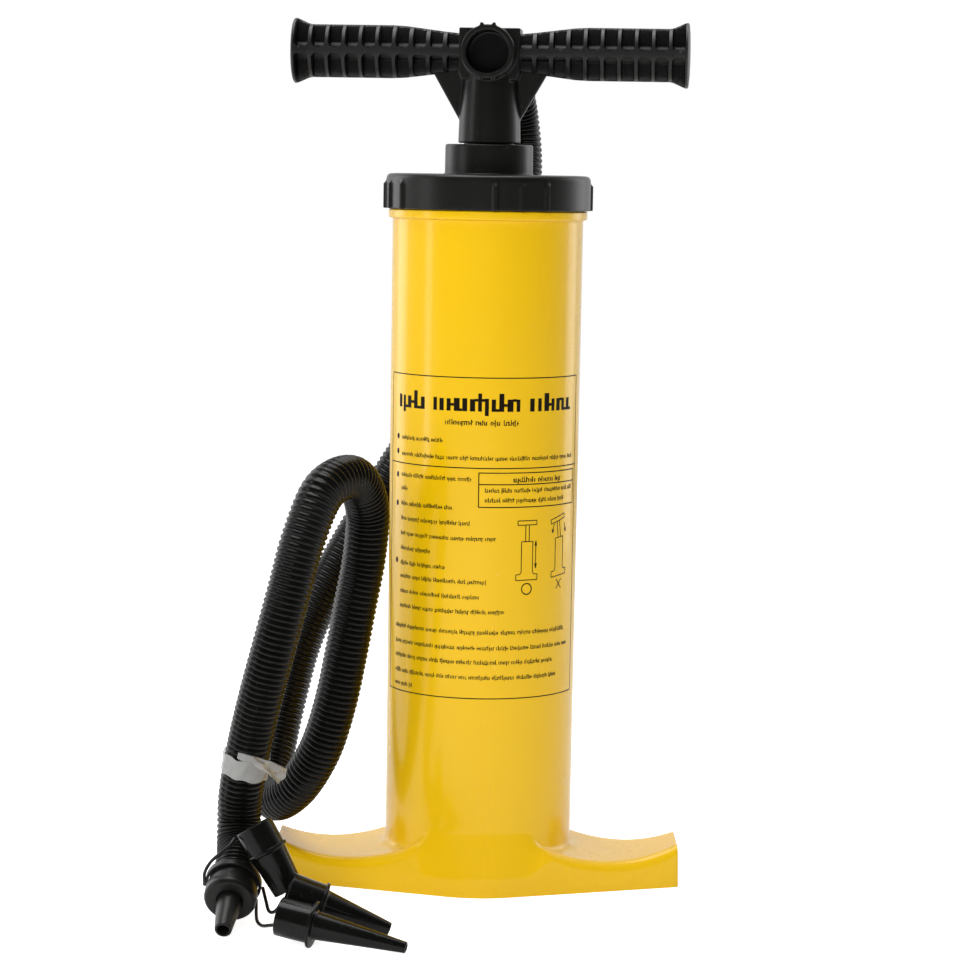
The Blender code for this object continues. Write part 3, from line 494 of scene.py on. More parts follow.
def smoothRoute(route, perSpan=16):
    # centripetal Catmull-Rom curve through the points, knots spaced by the root of each chord
    p = np.array(route, float)
    q = np.vstack([2 * p[0] - p[1], p, 2 * p[-1] - p[-2]])
    p0, p1, p2, p3 = q[:-3], q[1:-2], q[2:-1], q[3:]
    t1 = np.sqrt(np.linalg.norm(p1 - p0, axis=1))[:, None, None]
    t2 = t1 + np.sqrt(np.linalg.norm(p2 - p1, axis=1))[:, None, None]
    t3 = t2 + np.sqrt(np.linalg.norm(p3 - p2, axis=1))[:, None, None]
    t = t1 + (t2 - t1) * (np.arange(perSpan) / perSpan)[None, :, None]
    p0, p1, p2, p3 = (x[:, None, :] for x in (p0, p1, p2, p3))
    a1 = p0 + (p1 - p0) * t / t1
    a2 = p1 + (p2 - p1) * (t - t1) / (t2 - t1)
    a3 = p2 + (p3 - p2) * (t - t2) / (t3 - t2)
    b1 = a1 + (a2 - a1) * t / t2
    b2 = a2 + (a3 - a2) * (t - t1) / (t3 - t1)
    curve = b1 + (b2 - b1) * (t - t1) / (t2 - t1)
    return np.vstack([curve.reshape(-1, 3), p[-1]])


def evenRoute(curve, count):
    # points at even distances along a curve
    lengths = np.concatenate([[0.0], np.cumsum(np.linalg.norm(np.diff(curve, axis=0), axis=1))])
    stations = np.linspace(0.0, lengths[-1], count)
    return np.stack([np.interp(stations, lengths, curve[:, k]) for k in range(3)], axis=1), lengths[-1]


def routeFrames(points):
    # tangents, and normals carried along the path without twist
    tangents = np.gradient(points, axis=0)
    tangents /= np.linalg.norm(tangents, axis=1)[:, None]
    normals = np.empty_like(tangents)
    seed = np.cross(tangents[0], (1.0, 0.0, 0.0))
    normals[0] = seed / np.linalg.norm(seed)
    for i in range(1, len(points)):
        carried = normals[i - 1] - tangents[i] * np.dot(normals[i - 1], tangents[i])
        normals[i] = carried / np.linalg.norm(carried)
    return tangents, normals, np.cross(tangents, normals)


def tubeAlong(name, points, radii, around):
    # a ring of the given radius square to the path at each point, with closed ends
    tangents, normals, sides = routeFrames(points)
    angle = np.linspace(0.0, math.tau, around, endpoint=False)
    rings = (points[:, None, :]
             + radii[:, None, None] * (normals[:, None, :] * np.cos(angle)[None, :, None]
                                       + sides[:, None, :] * np.sin(angle)[None, :, None]))
    caps = [np.repeat(points[i][None, None, :], around, axis=1) for i in (0, -1)]
    rings = np.concatenate([caps[0], rings, caps[1]], axis=0)
    return placeMesh(name, rings, gridFaces(len(rings), around, closeColumns=True), sharp=60.0)


def makeHose():
    # the radius swings between crest and valley once per pitch, with round crests
    curve = smoothRoute(hose["route"])
    _, length = evenRoute(curve, 2)
    ribs = round(length / hose["pitch"])
    points, length = evenRoute(curve, ribs * hose["ringsPerRib"] + 1)
    phase = np.linspace(0.0, ribs * math.tau, len(points))
    crest = (0.5 - 0.5 * np.cos(phase)) ** hose["crest"]
    radii = hose["valley"] + (hose["radius"] - hose["valley"]) * crest
    tube = tubeAlong("hoseTube", points, radii, hose["around"])
    dress(tube, "hosePlastic", nodes=("hose",))
    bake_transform(tube)
    return tube, points, length


lanyard = {
    "radius": 0.0009, "stations": 60, "around": 14,
    "routes": {
        "lanyardWide": ("lanyard_wide", [
            (-0.1437, -0.1140, 0.0194), (-0.1428, -0.1215, 0.0280), (-0.1392, -0.1250, 0.0345),
            (-0.1340, -0.1262, 0.0395), (-0.1295, -0.1248, 0.0432), (-0.1272, -0.1215, 0.0462)]),
        "lanyardLong": ("lanyard_long", [
            (-0.1164, -0.1119, 0.0112), (-0.1150, -0.1290, 0.0065), (-0.1135, -0.1390, 0.0060),
            (-0.1105, -0.1480, 0.0065), (-0.1065, -0.1550, 0.0085), (-0.1032, -0.1594, 0.0100)]),
        "lanyardCone": ("lanyard_cone", [
            (-0.1128, -0.1157, 0.0187), (-0.1105, -0.1230, 0.0135), (-0.1085, -0.1300, 0.0100),
            (-0.1060, -0.1355, 0.0105), (-0.1035, -0.1388, 0.0130), (-0.1015, -0.1402, 0.0166)]),
    },
}


def makeLanyards():
    # thin round cords from the keeper ring to the loose nozzles
    for name, (node, route) in lanyard["routes"].items():
        points, length = evenRoute(smoothRoute(route), lanyard["stations"])
        cord = tubeAlong(name, points, np.full(len(points), lanyard["radius"]), lanyard["around"])
        dress(cord, "blackPlastic", body="barrel", nodes=(node,))


# What is on the hose

# outlines are (radius, height, rounding) corners
hoseEnd = {
    "cuffBase": (-0.1279, -0.1102, 0.0232), "nozzleTip": (-0.1306, -0.1500, 0.0042), "keeperAt": 0.0035,
    "cuff": [
        (0.0100, 0.0008, 0), (0.0126, 0.0008, 0.0004), (0.0130, 0.0018, 0.0004), (0.0130, 0.0120, 0.0004),
        (0.0139, 0.0128, 0.0004), (0.0139, 0.0190, 0.0012), (0.0126, 0.0208, 0.0008),
        (0.0085, 0.0210, 0.0003), (0.0070, 0.0210, 0.0003), (0.0070, 0.0030, 0), (0.0100, 0.0030, 0)],
    "fitted": [(0.0048, 0.0080, 0), (0.0067, 0.0080, 0), (0.0067, 0.0211, 0.0003), (0.0066, 0.0240, 0.0006)],
    "fittedTip": (0.0044, 0.0031),
    "keeper": [(0.0133, 0.0, 0.0003), (0.0149, 0.0, 0.0006), (0.0149, 0.0042, 0.0006), (0.0133, 0.0042, 0.0003)],
}

nozzles = {
    "nozzleWide": {"node": "nozzle_wide", "base": (-0.1176, -0.1190, 0.0526), "tip": (-0.0991, -0.1235, 0.0207),
                   "socket": 0.0102, "socketLength": 0.0142, "length": 0.0385, "flange": 0.0112, "cone": 0.0098,
                   "end": 0.0082, "bore": 0.0084, "endBore": 0.0068},
    "nozzleLong": {"node": "nozzle_long", "base": (-0.1010, -0.1607, 0.0150), "tip": (-0.0353, -0.1756, 0.0035),
                   "socket": 0.0100, "socketLength": 0.0178, "length": 0.0685, "flange": 0.0122, "cone": 0.0075,
                   "end": 0.0029, "bore": 0.0056, "endBore": 0.0017},
    "nozzleCone": {"node": "nozzle_cone", "base": (-0.0979, -0.1420, 0.0237), "tip": (-0.0449, -0.1399, 0.0038),
                   "socket": 0.0100, "socketLength": 0.0180, "length": 0.0568, "flange": 0.0113, "cone": 0.0078,
                   "end": 0.0034, "bore": 0.0060, "endBore": 0.0021},
}


def makeHoseEnd():
    # cuff, its fitted nozzle and the keeper ring on one line, then the three loose nozzles
    base, tip = hoseEnd["cuffBase"], hoseEnd["nozzleTip"]
    place = aimedPlace(base, tip)
    line = Vector(tip) - Vector(base)
    fitted = hoseEnd["fitted"] + [(radius, line.length, 0.0006) for radius in hoseEnd["fittedTip"]]
    further = Matrix.Translation(line.normalized() * hoseEnd["keeperAt"]) @ place
    made = []
    for name, node, corners, segments, lay in (
            ("hoseCuff", "hose_cuff", hoseEnd["cuff"], 96, place),
            ("fittedNozzle", "nozzle_fitted", fitted, 72, place),
            ("keeperRing", "keeper_ring", hoseEnd["keeper"], 96, further)):
        piece = turnedPiece(name, corners, segments, lay)
        made.append(dress(piece, "blackPlastic", "barrel", (node,)))
    for name, spec in nozzles.items():
        mouth, shoulder = spec["socket"], spec["socketLength"]
        corners = [
            (mouth - 0.0018, 0.0, 0.0003), (mouth, 0.0, 0.0006), (mouth, shoulder, 0.0003),
            (spec["flange"], shoulder, 0.0006), (spec["flange"], shoulder + 0.0016, 0.0006),
            (spec["cone"], shoulder + 0.0020, 0.0010), (spec["end"], spec["length"], 0.0008),
            (spec["endBore"], spec["length"], 0.0004), (spec["bore"], shoulder + 0.0020, 0),
            (mouth - 0.0018, shoulder - 0.0010, 0),
        ]
        piece = turnedPiece(name, corners, 80, aimedPlace(spec["base"], spec["tip"]))
        made.append(dress(piece, "nozzlePlastic", "barrel", (spec["node"],)))
    return made


tie = {"station": 0.9275, "radius": 0.01265, "halfHeight": 0.0058, "thickness": 0.00016,
       "tail": ((-0.1262, -0.1190, 0.0891), (-0.1211, -0.1170, 0.0882), (-0.1163, -0.1110, 0.0850),
                (-0.1120, -0.1040, 0.0810), (-0.1078, -0.0960, 0.0767), (-0.1040, -0.0880, 0.0724)),
       "tailHalfWidth": 0.0046, "tailTaper": (0.45, 1.0), "tailTwist": (2.7, 3.6), "around": 120}


def makeTieBand(points):
    # a film band round the hose whose radius follows slow waves, and its loose tail: a strip that
    # turns about its own line as it leaves
    index = round(tie["station"] * (len(points) - 1))
    centre = points[index]
    place = aimedPlace(centre, centre + (points[index + 12] - points[index - 12]))
    angle = np.linspace(0.0, math.tau, tie["around"], endpoint=False)[None, :]
    height = np.linspace(-tie["halfHeight"], tie["halfHeight"], 13)[:, None]
    wave = 0.00024 * np.sin(5 * angle + 260 * height) + 0.00018 * np.sin(11 * angle - 500 * height)
    edge = height + 0.0009 * np.sin(2 * angle) + 0.0005 * np.sin(7 * angle)
    shells = [np.stack([r * np.cos(angle), r * np.sin(angle), edge], axis=-1)
              for r in (tie["radius"] + wave, tie["radius"] + wave - tie["thickness"])]
    rows = np.concatenate([shells[0], shells[1][::-1]], axis=0)
    turn = np.array(place)
    band = rows.reshape(-1, 3) @ turn[:3, :3].T + turn[:3, 3]
    line, _ = evenRoute(smoothRoute(tie["tail"]), 40)
    _, normals, sides = routeFrames(line)
    twist = np.linspace(*tie["tailTwist"], len(line))[:, None]
    wide = normals * np.cos(twist) + sides * np.sin(twist)
    thick = normals * -np.sin(twist) + sides * np.cos(twist)
    across = np.linspace(-1.0, 1.0, 9)
    ruffle = 0.0007 * np.sin(9 * twist + 3 * across) + 0.0004 * np.sin(23 * twist - 4 * across)
    width = tie["tailHalfWidth"] * np.linspace(*tie["tailTaper"], len(line))[:, None]
    upper = line[:, None] + wide[:, None] * (width * across)[..., None] + thick[:, None] * ruffle[..., None]
    lower = upper - thick[:, None] * tie["thickness"]
    loop = np.concatenate([upper, lower[:, ::-1]], axis=1)
    caps = [np.repeat(end.mean(1, keepdims=True), loop.shape[1], 1) for end in (loop[:1], loop[-1:])]
    loop = np.concatenate([caps[0], loop, caps[1]], axis=0)
    grids = ((band, gridFaces(len(rows), tie["around"], True, True)),
             (loop, gridFaces(*loop.shape[:2], closeColumns=True)))
    film = placeMesh("tieBand", *joinedGrids(*grids), 80.0)
    return dress(film, "clearFilm", "barrel", ("tie_band",))


# Barrel and feet

barrel = {
    "bore": 0.0495, "footRadius": 0.0520, "topRadius": 0.0527, "top": 0.3880, "beadBottom": 0.3700,
    "beadRadius": 0.0550, "beadHeight": 0.0050, "floor": 0.0220, "floorThickness": 0.0040,
    "halfSpan": 0.1128, "endHalfDepth": 0.0215, "roundRadius": 0.0560, "dipX": 0.0780,
    "dipHeight": 0.0158, "rootHeight": 0.0245, "endHeight": 0.0238, "edgeRound": 0.0062, "skin": 0.0026,
    "wingFade": 0.0060, "edgeDraft": 0.0004, "noseLow": 0.0100, "noseHigh": 0.0360, "wallStart": 0.060,
    "postRadius": 0.0120, "sideRows": 9, "topRows": 60, "around": 480,
}


def wallRadius(z):
    # the barrel widens evenly from foot to bead
    share = np.clip(z / barrel["beadBottom"], 0.0, 1.0)
    return barrel["footRadius"] + (barrel["topRadius"] - barrel["footRadius"]) * share


def footAngles():
    # angles round the barrel, closer together at the four corners of the feet
    corner = math.atan2(barrel["endHalfDepth"], barrel["halfSpan"])
    even = np.linspace(0.0, math.tau, 4001)
    density = np.ones_like(even)
    for centre in (corner, -corner, math.pi - corner, math.pi + corner):
        away = np.abs((even - centre + math.pi) % math.tau - math.pi)
        density += 7.0 * np.exp(-(away / 0.035) ** 2)
    total = np.concatenate([[0.0], np.cumsum((density[1:] + density[:-1]) / 2)])
    stations = np.linspace(0.0, total[-1], barrel["around"], endpoint=False)
    return np.interp(stations, total, even)


def footTangent():
    # angle at which the tangent from the foot's end corner meets the arc round the barrel
    b = barrel
    away = math.hypot(b["halfSpan"], b["endHalfDepth"])
    return math.atan2(b["endHalfDepth"], b["halfSpan"]) + math.acos(b["roundRadius"] / away)


def footReach(angle):
    # distance to the foot's edge: the arc round the barrel, the tangent to the foot's end and
    # the end's straight edge, whichever is nearest, with the corner between them eased
    b = barrel
    x, y = np.abs(np.cos(angle)), np.abs(np.sin(angle))
    folded = np.arctan2(y, x)
    tangent = footTangent()
    side = np.where(folded < tangent, b["roundRadius"] / np.cos(tangent - folded), b["roundRadius"])
    end = b["halfSpan"] / np.maximum(x, 1e-3)
    softness = 0.0012
    least = np.minimum(side, end)
    return least - softness * np.log1p(np.exp(-np.abs(side - end) / softness))


def edgeDrop(radius, angle):
    # how far a foot's top falls towards its long edges: a quarter circle over the edge's radius
    b = barrel
    x, y = np.abs(radius * np.cos(angle)), np.abs(radius * np.sin(angle))
    tangent = footTangent()
    inward = b["roundRadius"] - (x * math.cos(tangent) + y * math.sin(tangent))
    share = np.clip(1.0 - inward / b["edgeRound"], 0.0, 1.0)
    return b["edgeRound"] * (1.0 - np.sqrt(1.0 - share ** 2))


def footTop(x):
    # height of a foot over its length: two arcs that meet in the dip
    b = barrel
    inner = np.clip((b["dipX"] - x) / (b["dipX"] - b["footRadius"]), 0.0, 1.6)
    outer = np.clip((x - b["dipX"]) / (b["halfSpan"] - b["dipX"]), 0.0, 1.2)
    return (b["dipHeight"] + (b["rootHeight"] - b["dipHeight"]) * 0.42 * inner ** 2
            + (b["endHeight"] - b["dipHeight"]) * outer ** 2)


def easeRows(rows, weight, passes):
    # each inner row moves towards the middle of its neighbours by its own weight
    for _ in range(passes):
        middle = (rows[:-2] + rows[2:]) / 2
        rows[1:-1] += weight[1:-1, None, None] * (middle - rows[1:-1])
    return rows


def makeBarrel():
    # one skin round the axis: underside, foot edge, foot top, fillet, barrel wall, bead, neck, bore
    b = barrel
    angle = footAngles()
    reach = footReach(angle)
    across = np.abs(np.cos(angle))
    wing = eased(np.clip((reach - b["roundRadius"] - 0.0001) / b["wingFade"], 0.0, 1.0))

    def ring(radius, height):
        return np.stack([radius + 0 * angle, height + 0 * angle], axis=-1)

    def padTop(radius):
        return footTop(radius * across) - edgeDrop(radius, angle)

    edgeTop = wing * padTop(reach) + (1 - wing) * b["noseLow"]
    side = [ring(reach - b["edgeDraft"] * t, edgeTop * t) for t in np.linspace(0.0, 1.0, b["sideRows"])]
    top = []
    for t in np.linspace(0.0, 1.0, b["topRows"])[1:] ** 1.3:
        radius = (reach - b["edgeDraft"]) * (1 - t) + (b["footRadius"] + 0.00005) * t
        nose = b["noseLow"] + (b["noseHigh"] - b["noseLow"]) * t
        top.append(ring(radius, wing * padTop(radius) + (1 - wing) * nose))
    start = top[-1][:, 1]
    heights = [start + (b["wallStart"] - start) * t for t in np.linspace(0.0, 1.0, 25)[1:]]
    low = [ring(wallRadius(height), height) for height in heights]
    skin = np.array(side + top + low)
    weight = np.zeros(len(skin))
    weight[4:len(side) + 5] = 0.5
    skin = easeRows(skin, weight, 5)
    weight[:] = 0.0
    weight[len(side) + 49:len(side) + len(top) + 8] = 0.5
    skin = easeRows(skin, weight, 10)

    bottom, beadTop = b["beadBottom"], b["beadBottom"] + b["beadHeight"]
    bead = roundedOutline([
        (b["topRadius"], bottom - 0.004, 0), (b["topRadius"], bottom, 0.0008),
        (b["beadRadius"], bottom + 0.0003, 0.0014), (b["beadRadius"], beadTop, 0.0012),
        (b["topRadius"], beadTop, 0.0004), (b["topRadius"], b["top"], 0.0006),
        (b["bore"], b["top"], 0.0006), (b["bore"], b["floor"], 0.0015), (0.0, b["floor"], 0)], closed=False)
    walls = [ring(wallRadius(z), z) for z in np.linspace(b["wallStart"], bottom - 0.006, 14)[1:]]
    upper = [ring(r, z) for r, z in bead]

    inner = reach - b["skin"]
    inside = [ring(inner, 0.0), ring(inner, edgeTop * 0.40)]
    under = []
    for t in np.linspace(0.0, 1.0, 12):
        radius = inner * (1 - t) + (b["footRadius"] + 0.0018) * t
        height = wing * padTop(radius) + (1 - wing) * 0.016 - b["skin"] - 0.0012
        under.append(ring(np.minimum(radius, inner), np.maximum(height, 0.003)))
    foot = [ring(b["footRadius"] + 0.0010, 0.0), ring(b["bore"], 0.0)]
    ceiling = b["floor"] - b["floorThickness"]
    middle = [ring(b["bore"], ceiling), ring(b["postRadius"], ceiling), ring(b["postRadius"], 0.0), ring(0.0, 0.0)]
    below = (inside + under + foot + middle)[::-1]
    rows = np.array(below + list(skin) + walls + upper)
    points = np.stack([rows[..., 0] * np.cos(angle), rows[..., 0] * np.sin(angle), rows[..., 1]], axis=-1)
    shell = placeMesh("barrelAndFeet", points, gridFaces(len(rows), len(angle), closeColumns=True), 42.0)
    return dress(shell, "yellowPlastic", "barrel", ("barrel", "foot_base"))


# Printed label

label = {
    "left": -74.0, "right": 72.5, "top": 0.2855, "divider": 0.2365, "bottom": 0.1102, "line": 0.00058,
    "heading": {"z": 0.2722, "height": 0.0098, "left": -62.5, "right": 61.0},
    "subheading": {"z": 0.2613, "height": 0.0030, "left": -24.0, "right": 20.5},
    "dots": (0.2510, 0.2427, 0.2298, 0.2140, 0.1823), "dotAngle": -64.0,
    "text": ((-59, -22.7, 0.2510), (-59, 66.0, 0.2420), (-59, -7.2, 0.2305), (-59, -51.1, 0.2230),
             (-59, -15.7, 0.2147), (-59, -6.1, 0.2064), (-59, 8.0, 0.1981), (-59, -30.5, 0.1899),
             (-59, -22.8, 0.1818), (-59, 5.8, 0.1744), (-59, -2.0, 0.1661), (-59, 12.9, 0.1580),
             (-64, 62.8, 0.1468), (-64, 63.2, 0.1382), (-64, 48.6, 0.1303), (-64, 52.1, 0.1219),
             (-64, -45.3, 0.1145)),
    "table": {"left": -2.8, "right": 69.6, "top": 0.2340, "bottom": 0.2153, "ruled": 0.2277},
    "tableText": ((18, 52, 0.2304, 0.0030), (1, 66, 0.2246, 0.0024), (1, 56, 0.2192, 0.0024)),
}


def onBarrel(u, z, lift):
    # a label point: u is the distance round the barrel from its front, z its height
    radius = wallRadius(z) + lift
    angle = u / barrel["footRadius"]
    return np.stack([radius * np.sin(angle), -radius * np.cos(angle), z], axis=-1)


def arcLength(degrees):
    return math.radians(degrees) * barrel["footRadius"]


def printPatches(name, corners, split=1):
    # four-cornered ink patches (u, z pairs), each a thin closed block that follows the barrel
    quads = np.asarray(corners, float)
    t = np.linspace(0.0, 1.0, split + 1)[None, :, None]
    low = quads[:, None, 0] * (1 - t) + quads[:, None, 1] * t
    high = quads[:, None, 3] * (1 - t) + quads[:, None, 2] * t
    faceLift, backLift = 0.00006, -0.00012
    rings = np.stack([onBarrel(edge[..., 0], edge[..., 1], lift) for edge, lift in (
        (low, faceLift), (high, faceLift), (high, backLift), (low, backLift))], axis=2)
    count = (split + 1) * 4
    tube = gridFaces(split + 1, 4, closeColumns=True)
    ends = np.array([[3, 2, 1, 0], [count - 4, count - 3, count - 2, count - 1]])
    faces = np.vstack([tube, ends])
    allFaces = (faces[None] + (np.arange(len(quads)) * count)[:, None, None]).reshape(-1, 4)
    piece = placeMesh(name, rings.reshape(-1, 3), allFaces, 30.0)
    return dress(piece, "printInk", "barrel")


def rectangle(left, right, low, high):
    return [(left, low), (right, low), (right, high), (left, high)]


def stroke(start, end, width):
    # a straight line of ink between two label points
    a, b = np.array(start, float), np.array(end, float)
    side = np.array([-(b - a)[1], (b - a)[0]])
    side *= width / 2 / np.linalg.norm(side)
    return [tuple(a - side), tuple(b - side), tuple(b + side), tuple(a + side)]


def dividedLine(points, width):
    # a line through label points, in pieces short enough to follow the barrel
    parts = []
    for start, end in zip(points, points[1:]):
        start, end = np.array(start), np.array(end)
        pieces = max(1, round(abs(end - start)[0] / 0.0010))
        steps = np.linspace(0.0, 1.0, pieces + 1)[:, None]
        ends = start * (1 - steps) + end * steps
        parts += [stroke(a, b, width) for a, b in zip(ends[:-1], ends[1:])]
    return parts


def greekedLine(left, right, z, height, weight):
    # a row of word-like groups of short upright bars that spell nothing
    bars = []
    u = left
    while u < right - height:
        wordEnd = min(right, u + height * rng.uniform(1.6, 5.5))
        while u < wordEnd:
            width = height * rng.uniform(0.18, 0.30) * weight
            tall = rng.choice((0.68, 0.72, 1.0), p=(0.45, 0.3, 0.25))
            drop = rng.choice((0.0, 0.24), p=(0.88, 0.12))
            bars.append(rectangle(u, u + width, z - height / 2 - drop * height, z - height / 2 + tall * height))
            gap = height * rng.uniform(0.15, 0.26)
            if rng.random() < 0.75:
                level = z - height / 2 + rng.choice((0.0, 0.28, 0.55)) * height
                near = u + width * 0.9
                bars += [rectangle(near + gap * part / 3, near + gap * (part + 1.5) / 3, level,
                                   level + height * 0.15) for part in range(3)]
            u += width + gap
        u += height * 0.42
    return bars


def makeLabel():
    box = label
    left, right = arcLength(box["left"]), arcLength(box["right"])
    half = box["line"] / 2
    frameLines = [rectangle(left, right, z - half, z + half) for z in (box["top"], box["divider"], box["bottom"])]
    table = box["table"]
    tableLeft, tableRight = arcLength(table["left"]), arcLength(table["right"])
    frameLines += [rectangle(tableLeft, tableRight, z - half, z + half)
                   for z in (table["top"], table["ruled"], table["bottom"])]
    printPatches("labelRules", frameLines, split=48)
    uprights = [rectangle(u - half, u + half, box["bottom"], box["top"]) for u in (left, right)]
    uprights += [rectangle(u - half, u + half, table["bottom"], table["top"]) for u in (tableLeft, tableRight)]
    head, sub = box["heading"], box["subheading"]
    words = greekedLine(arcLength(head["left"]), arcLength(head["right"]), head["z"], head["height"], 1.15)
    words += greekedLine(arcLength(sub["left"]), arcLength(sub["right"]), sub["z"], sub["height"], 0.8)
    for start, stop, z in box["text"]:
        words += greekedLine(arcLength(start), arcLength(stop), z, 0.0024, 0.75)
    for start, stop, z, height in box["tableText"]:
        words += greekedLine(arcLength(start), arcLength(stop), z, height, 0.8)
    printPatches("labelText", uprights + words)
    makeDots()
    makeDrawings()


def makeDots():
    u = arcLength(label["dotAngle"])
    strips = []
    for z in label["dots"]:
        for level in np.linspace(-0.85, 0.85, 7):
            reach = 0.00135 * math.sqrt(1 - level ** 2)
            middle = z + level * 0.0015
            strips.append(rectangle(u - reach, u + reach, middle - 0.00024, middle + 0.00024))
    printPatches("labelDots", strips)


def pumpSketch(u, low, scale, lean):
    # outline of a small pump: foot, barrel, rod and handle, the handle leaning to one side
    width = 0.00050
    body = [(-3.6, 0.0), (3.6, 0.0), (3.6, 1.7), (2.4, 1.7), (1.9, 2.4), (1.9, 11.6), (-1.9, 11.6), (-1.9, 2.4),
            (-2.4, 1.7), (-3.6, 1.7), (-3.6, 0.0)]
    shapes = [[(a, b + 0.8 * lean * a) for a, b in body]]
    upper = [[(-0.6, 11.6), (-0.6, 16.6)], [(0.6, 11.6), (0.6, 16.6)],
             [(-3.2, 16.6), (3.2, 16.6), (3.2, 17.9), (-3.2, 17.9), (-3.2, 16.6)]]
    shapes += [[(a - lean * (b - 11.6), b + 2.0 * lean * a) for a, b in line] for line in upper]
    lines = []
    for shape in shapes:
        lines += dividedLine([(u + a * scale, low + b * scale) for a, b in shape], width)
    return lines


def makeDrawings():
    u1, u2 = arcLength(27.8), arcLength(53.5)
    lines = pumpSketch(u1, 0.1752, 0.00182, 0.0)
    lines += pumpSketch(u2, 0.1762, 0.00182, 0.13)
    a = np.linspace(0.0, math.tau, 25)
    lines += dividedLine(np.stack([u1 + 0.0030 * np.cos(a), 0.1703 + 0.0030 * np.sin(a)], axis=-1), 0.00065)
    lines += [stroke((u2 - 0.0022, 0.1690), (u2 + 0.0022, 0.1742), 0.00060),
              stroke((u2 - 0.0022, 0.1742), (u2 + 0.0022, 0.1690), 0.00060)]
    arrow = u1 + 0.0054
    marks = [((arrow, 0.1820), (arrow, 0.1960)), ((arrow - 0.0006, 0.1938), (arrow, 0.1966)),
             ((arrow + 0.0006, 0.1938), (arrow, 0.1966)), ((arrow - 0.0006, 0.1842), (arrow, 0.1814)),
             ((arrow + 0.0006, 0.1842), (arrow, 0.1814))]
    for side in (-1, 1):
        near, far = u2 + side * 0.0046, u2 + side * 0.0060
        marks += [((near, 0.2050), (far, 0.2000)), ((far, 0.2000), (far - side * 0.0012, 0.2016)),
                  ((far, 0.2000), (far + side * 0.0004, 0.2022))]
    lines += [stroke(start, end, 0.00050) for start, end in marks]
    printPatches("labelDrawings", lines)


# Cap

cap = {
    "radius": 0.0565, "bottom": 0.3753, "top": 0.3945, "ribReach": 0.0016, "ribWidth": 0.0036,
    "ribTop": 0.3905, "groups": (18.8, 108.8, 198.8, 288.8), "pitch": 15.0, "collar": 0.0242,
    "collarTop": 0.4110, "around": 720, "pieceLength": 0.0011, "skirtBore": 0.0533, "underside": 0.3907,
    "rodHole": 0.0150, "lip": 0.4086, "sleeve": (0.0200, 0.0240), "sleeveEnd": 0.3520,
}


def makeCap():
    # a turned section whose outer skirt is pushed out along each rib, with soft sides and top
    c = cap
    crown = c["top"] + 0.0001
    sleeveBore, sleeveOuter = c["sleeve"]
    corners = [
        (c["skirtBore"], c["bottom"], 0.0004), (c["radius"], c["bottom"], 0.0008), (c["radius"], 0.3790, 0),
        (c["radius"], 0.3850, 0), (c["radius"], c["top"] - 0.0002, 0.0048), (0.0500, crown, 0.002),
        (c["collar"] + 0.0001, crown, 0.0012), (c["collar"], c["collarTop"], 0.0014),
        (c["rodHole"], c["collarTop"], 0.0006), (c["rodHole"], c["lip"], 0), (sleeveBore, c["lip"], 0),
        (sleeveBore, c["sleeveEnd"], 0), (sleeveOuter, c["sleeveEnd"], 0.0006),
        (sleeveOuter, c["underside"], 0.0012), (c["skirtBore"], c["underside"], 0.0010)]
    outline = roundedOutline(corners, steps=8)
    steps = np.roll(outline, -1, axis=0) - outline
    counts = np.maximum(1, (np.linalg.norm(steps, axis=1) / c["pieceLength"]).astype(int))
    outline = np.vstack([corner + step * np.linspace(0, 1, count, endpoint=False)[:, None]
                         for corner, step, count in zip(outline, steps, counts)])
    points = turnedPoints(outline, c["around"])
    angle = np.degrees(np.linspace(0.0, math.tau, c["around"], endpoint=False))
    swell = np.zeros_like(angle)
    halfWidth = math.degrees(c["ribWidth"] / 2 / c["radius"])
    for group in c["groups"]:
        for step in (-1, 0, 1):
            away = np.abs((angle - (group - 90.0 + step * c["pitch"]) + 180.0) % 360.0 - 180.0)
            swell = np.maximum(swell, np.clip((halfWidth + 0.25 - away) / 1.1, 0.0, 1.0))
    swell = eased(swell)
    outward = np.clip((outline[:, 0] - c["radius"] + 0.0012) / 0.0008, 0.0, 1.0)
    below = np.clip((c["ribTop"] - outline[:, 1]) / 0.0016, 0.0, 1.0)
    push = (outward * below)[:, None] * swell[None, :] * c["ribReach"]
    points[..., :2] *= (1 + push / np.hypot(points[..., 0], points[..., 1]))[..., None]
    shell = placeMesh("capShell", points, gridFaces(len(outline), c["around"], True, True), 40.0)
    return dress(shell, "blackPlastic", "cap", ("cap",))


# Handle

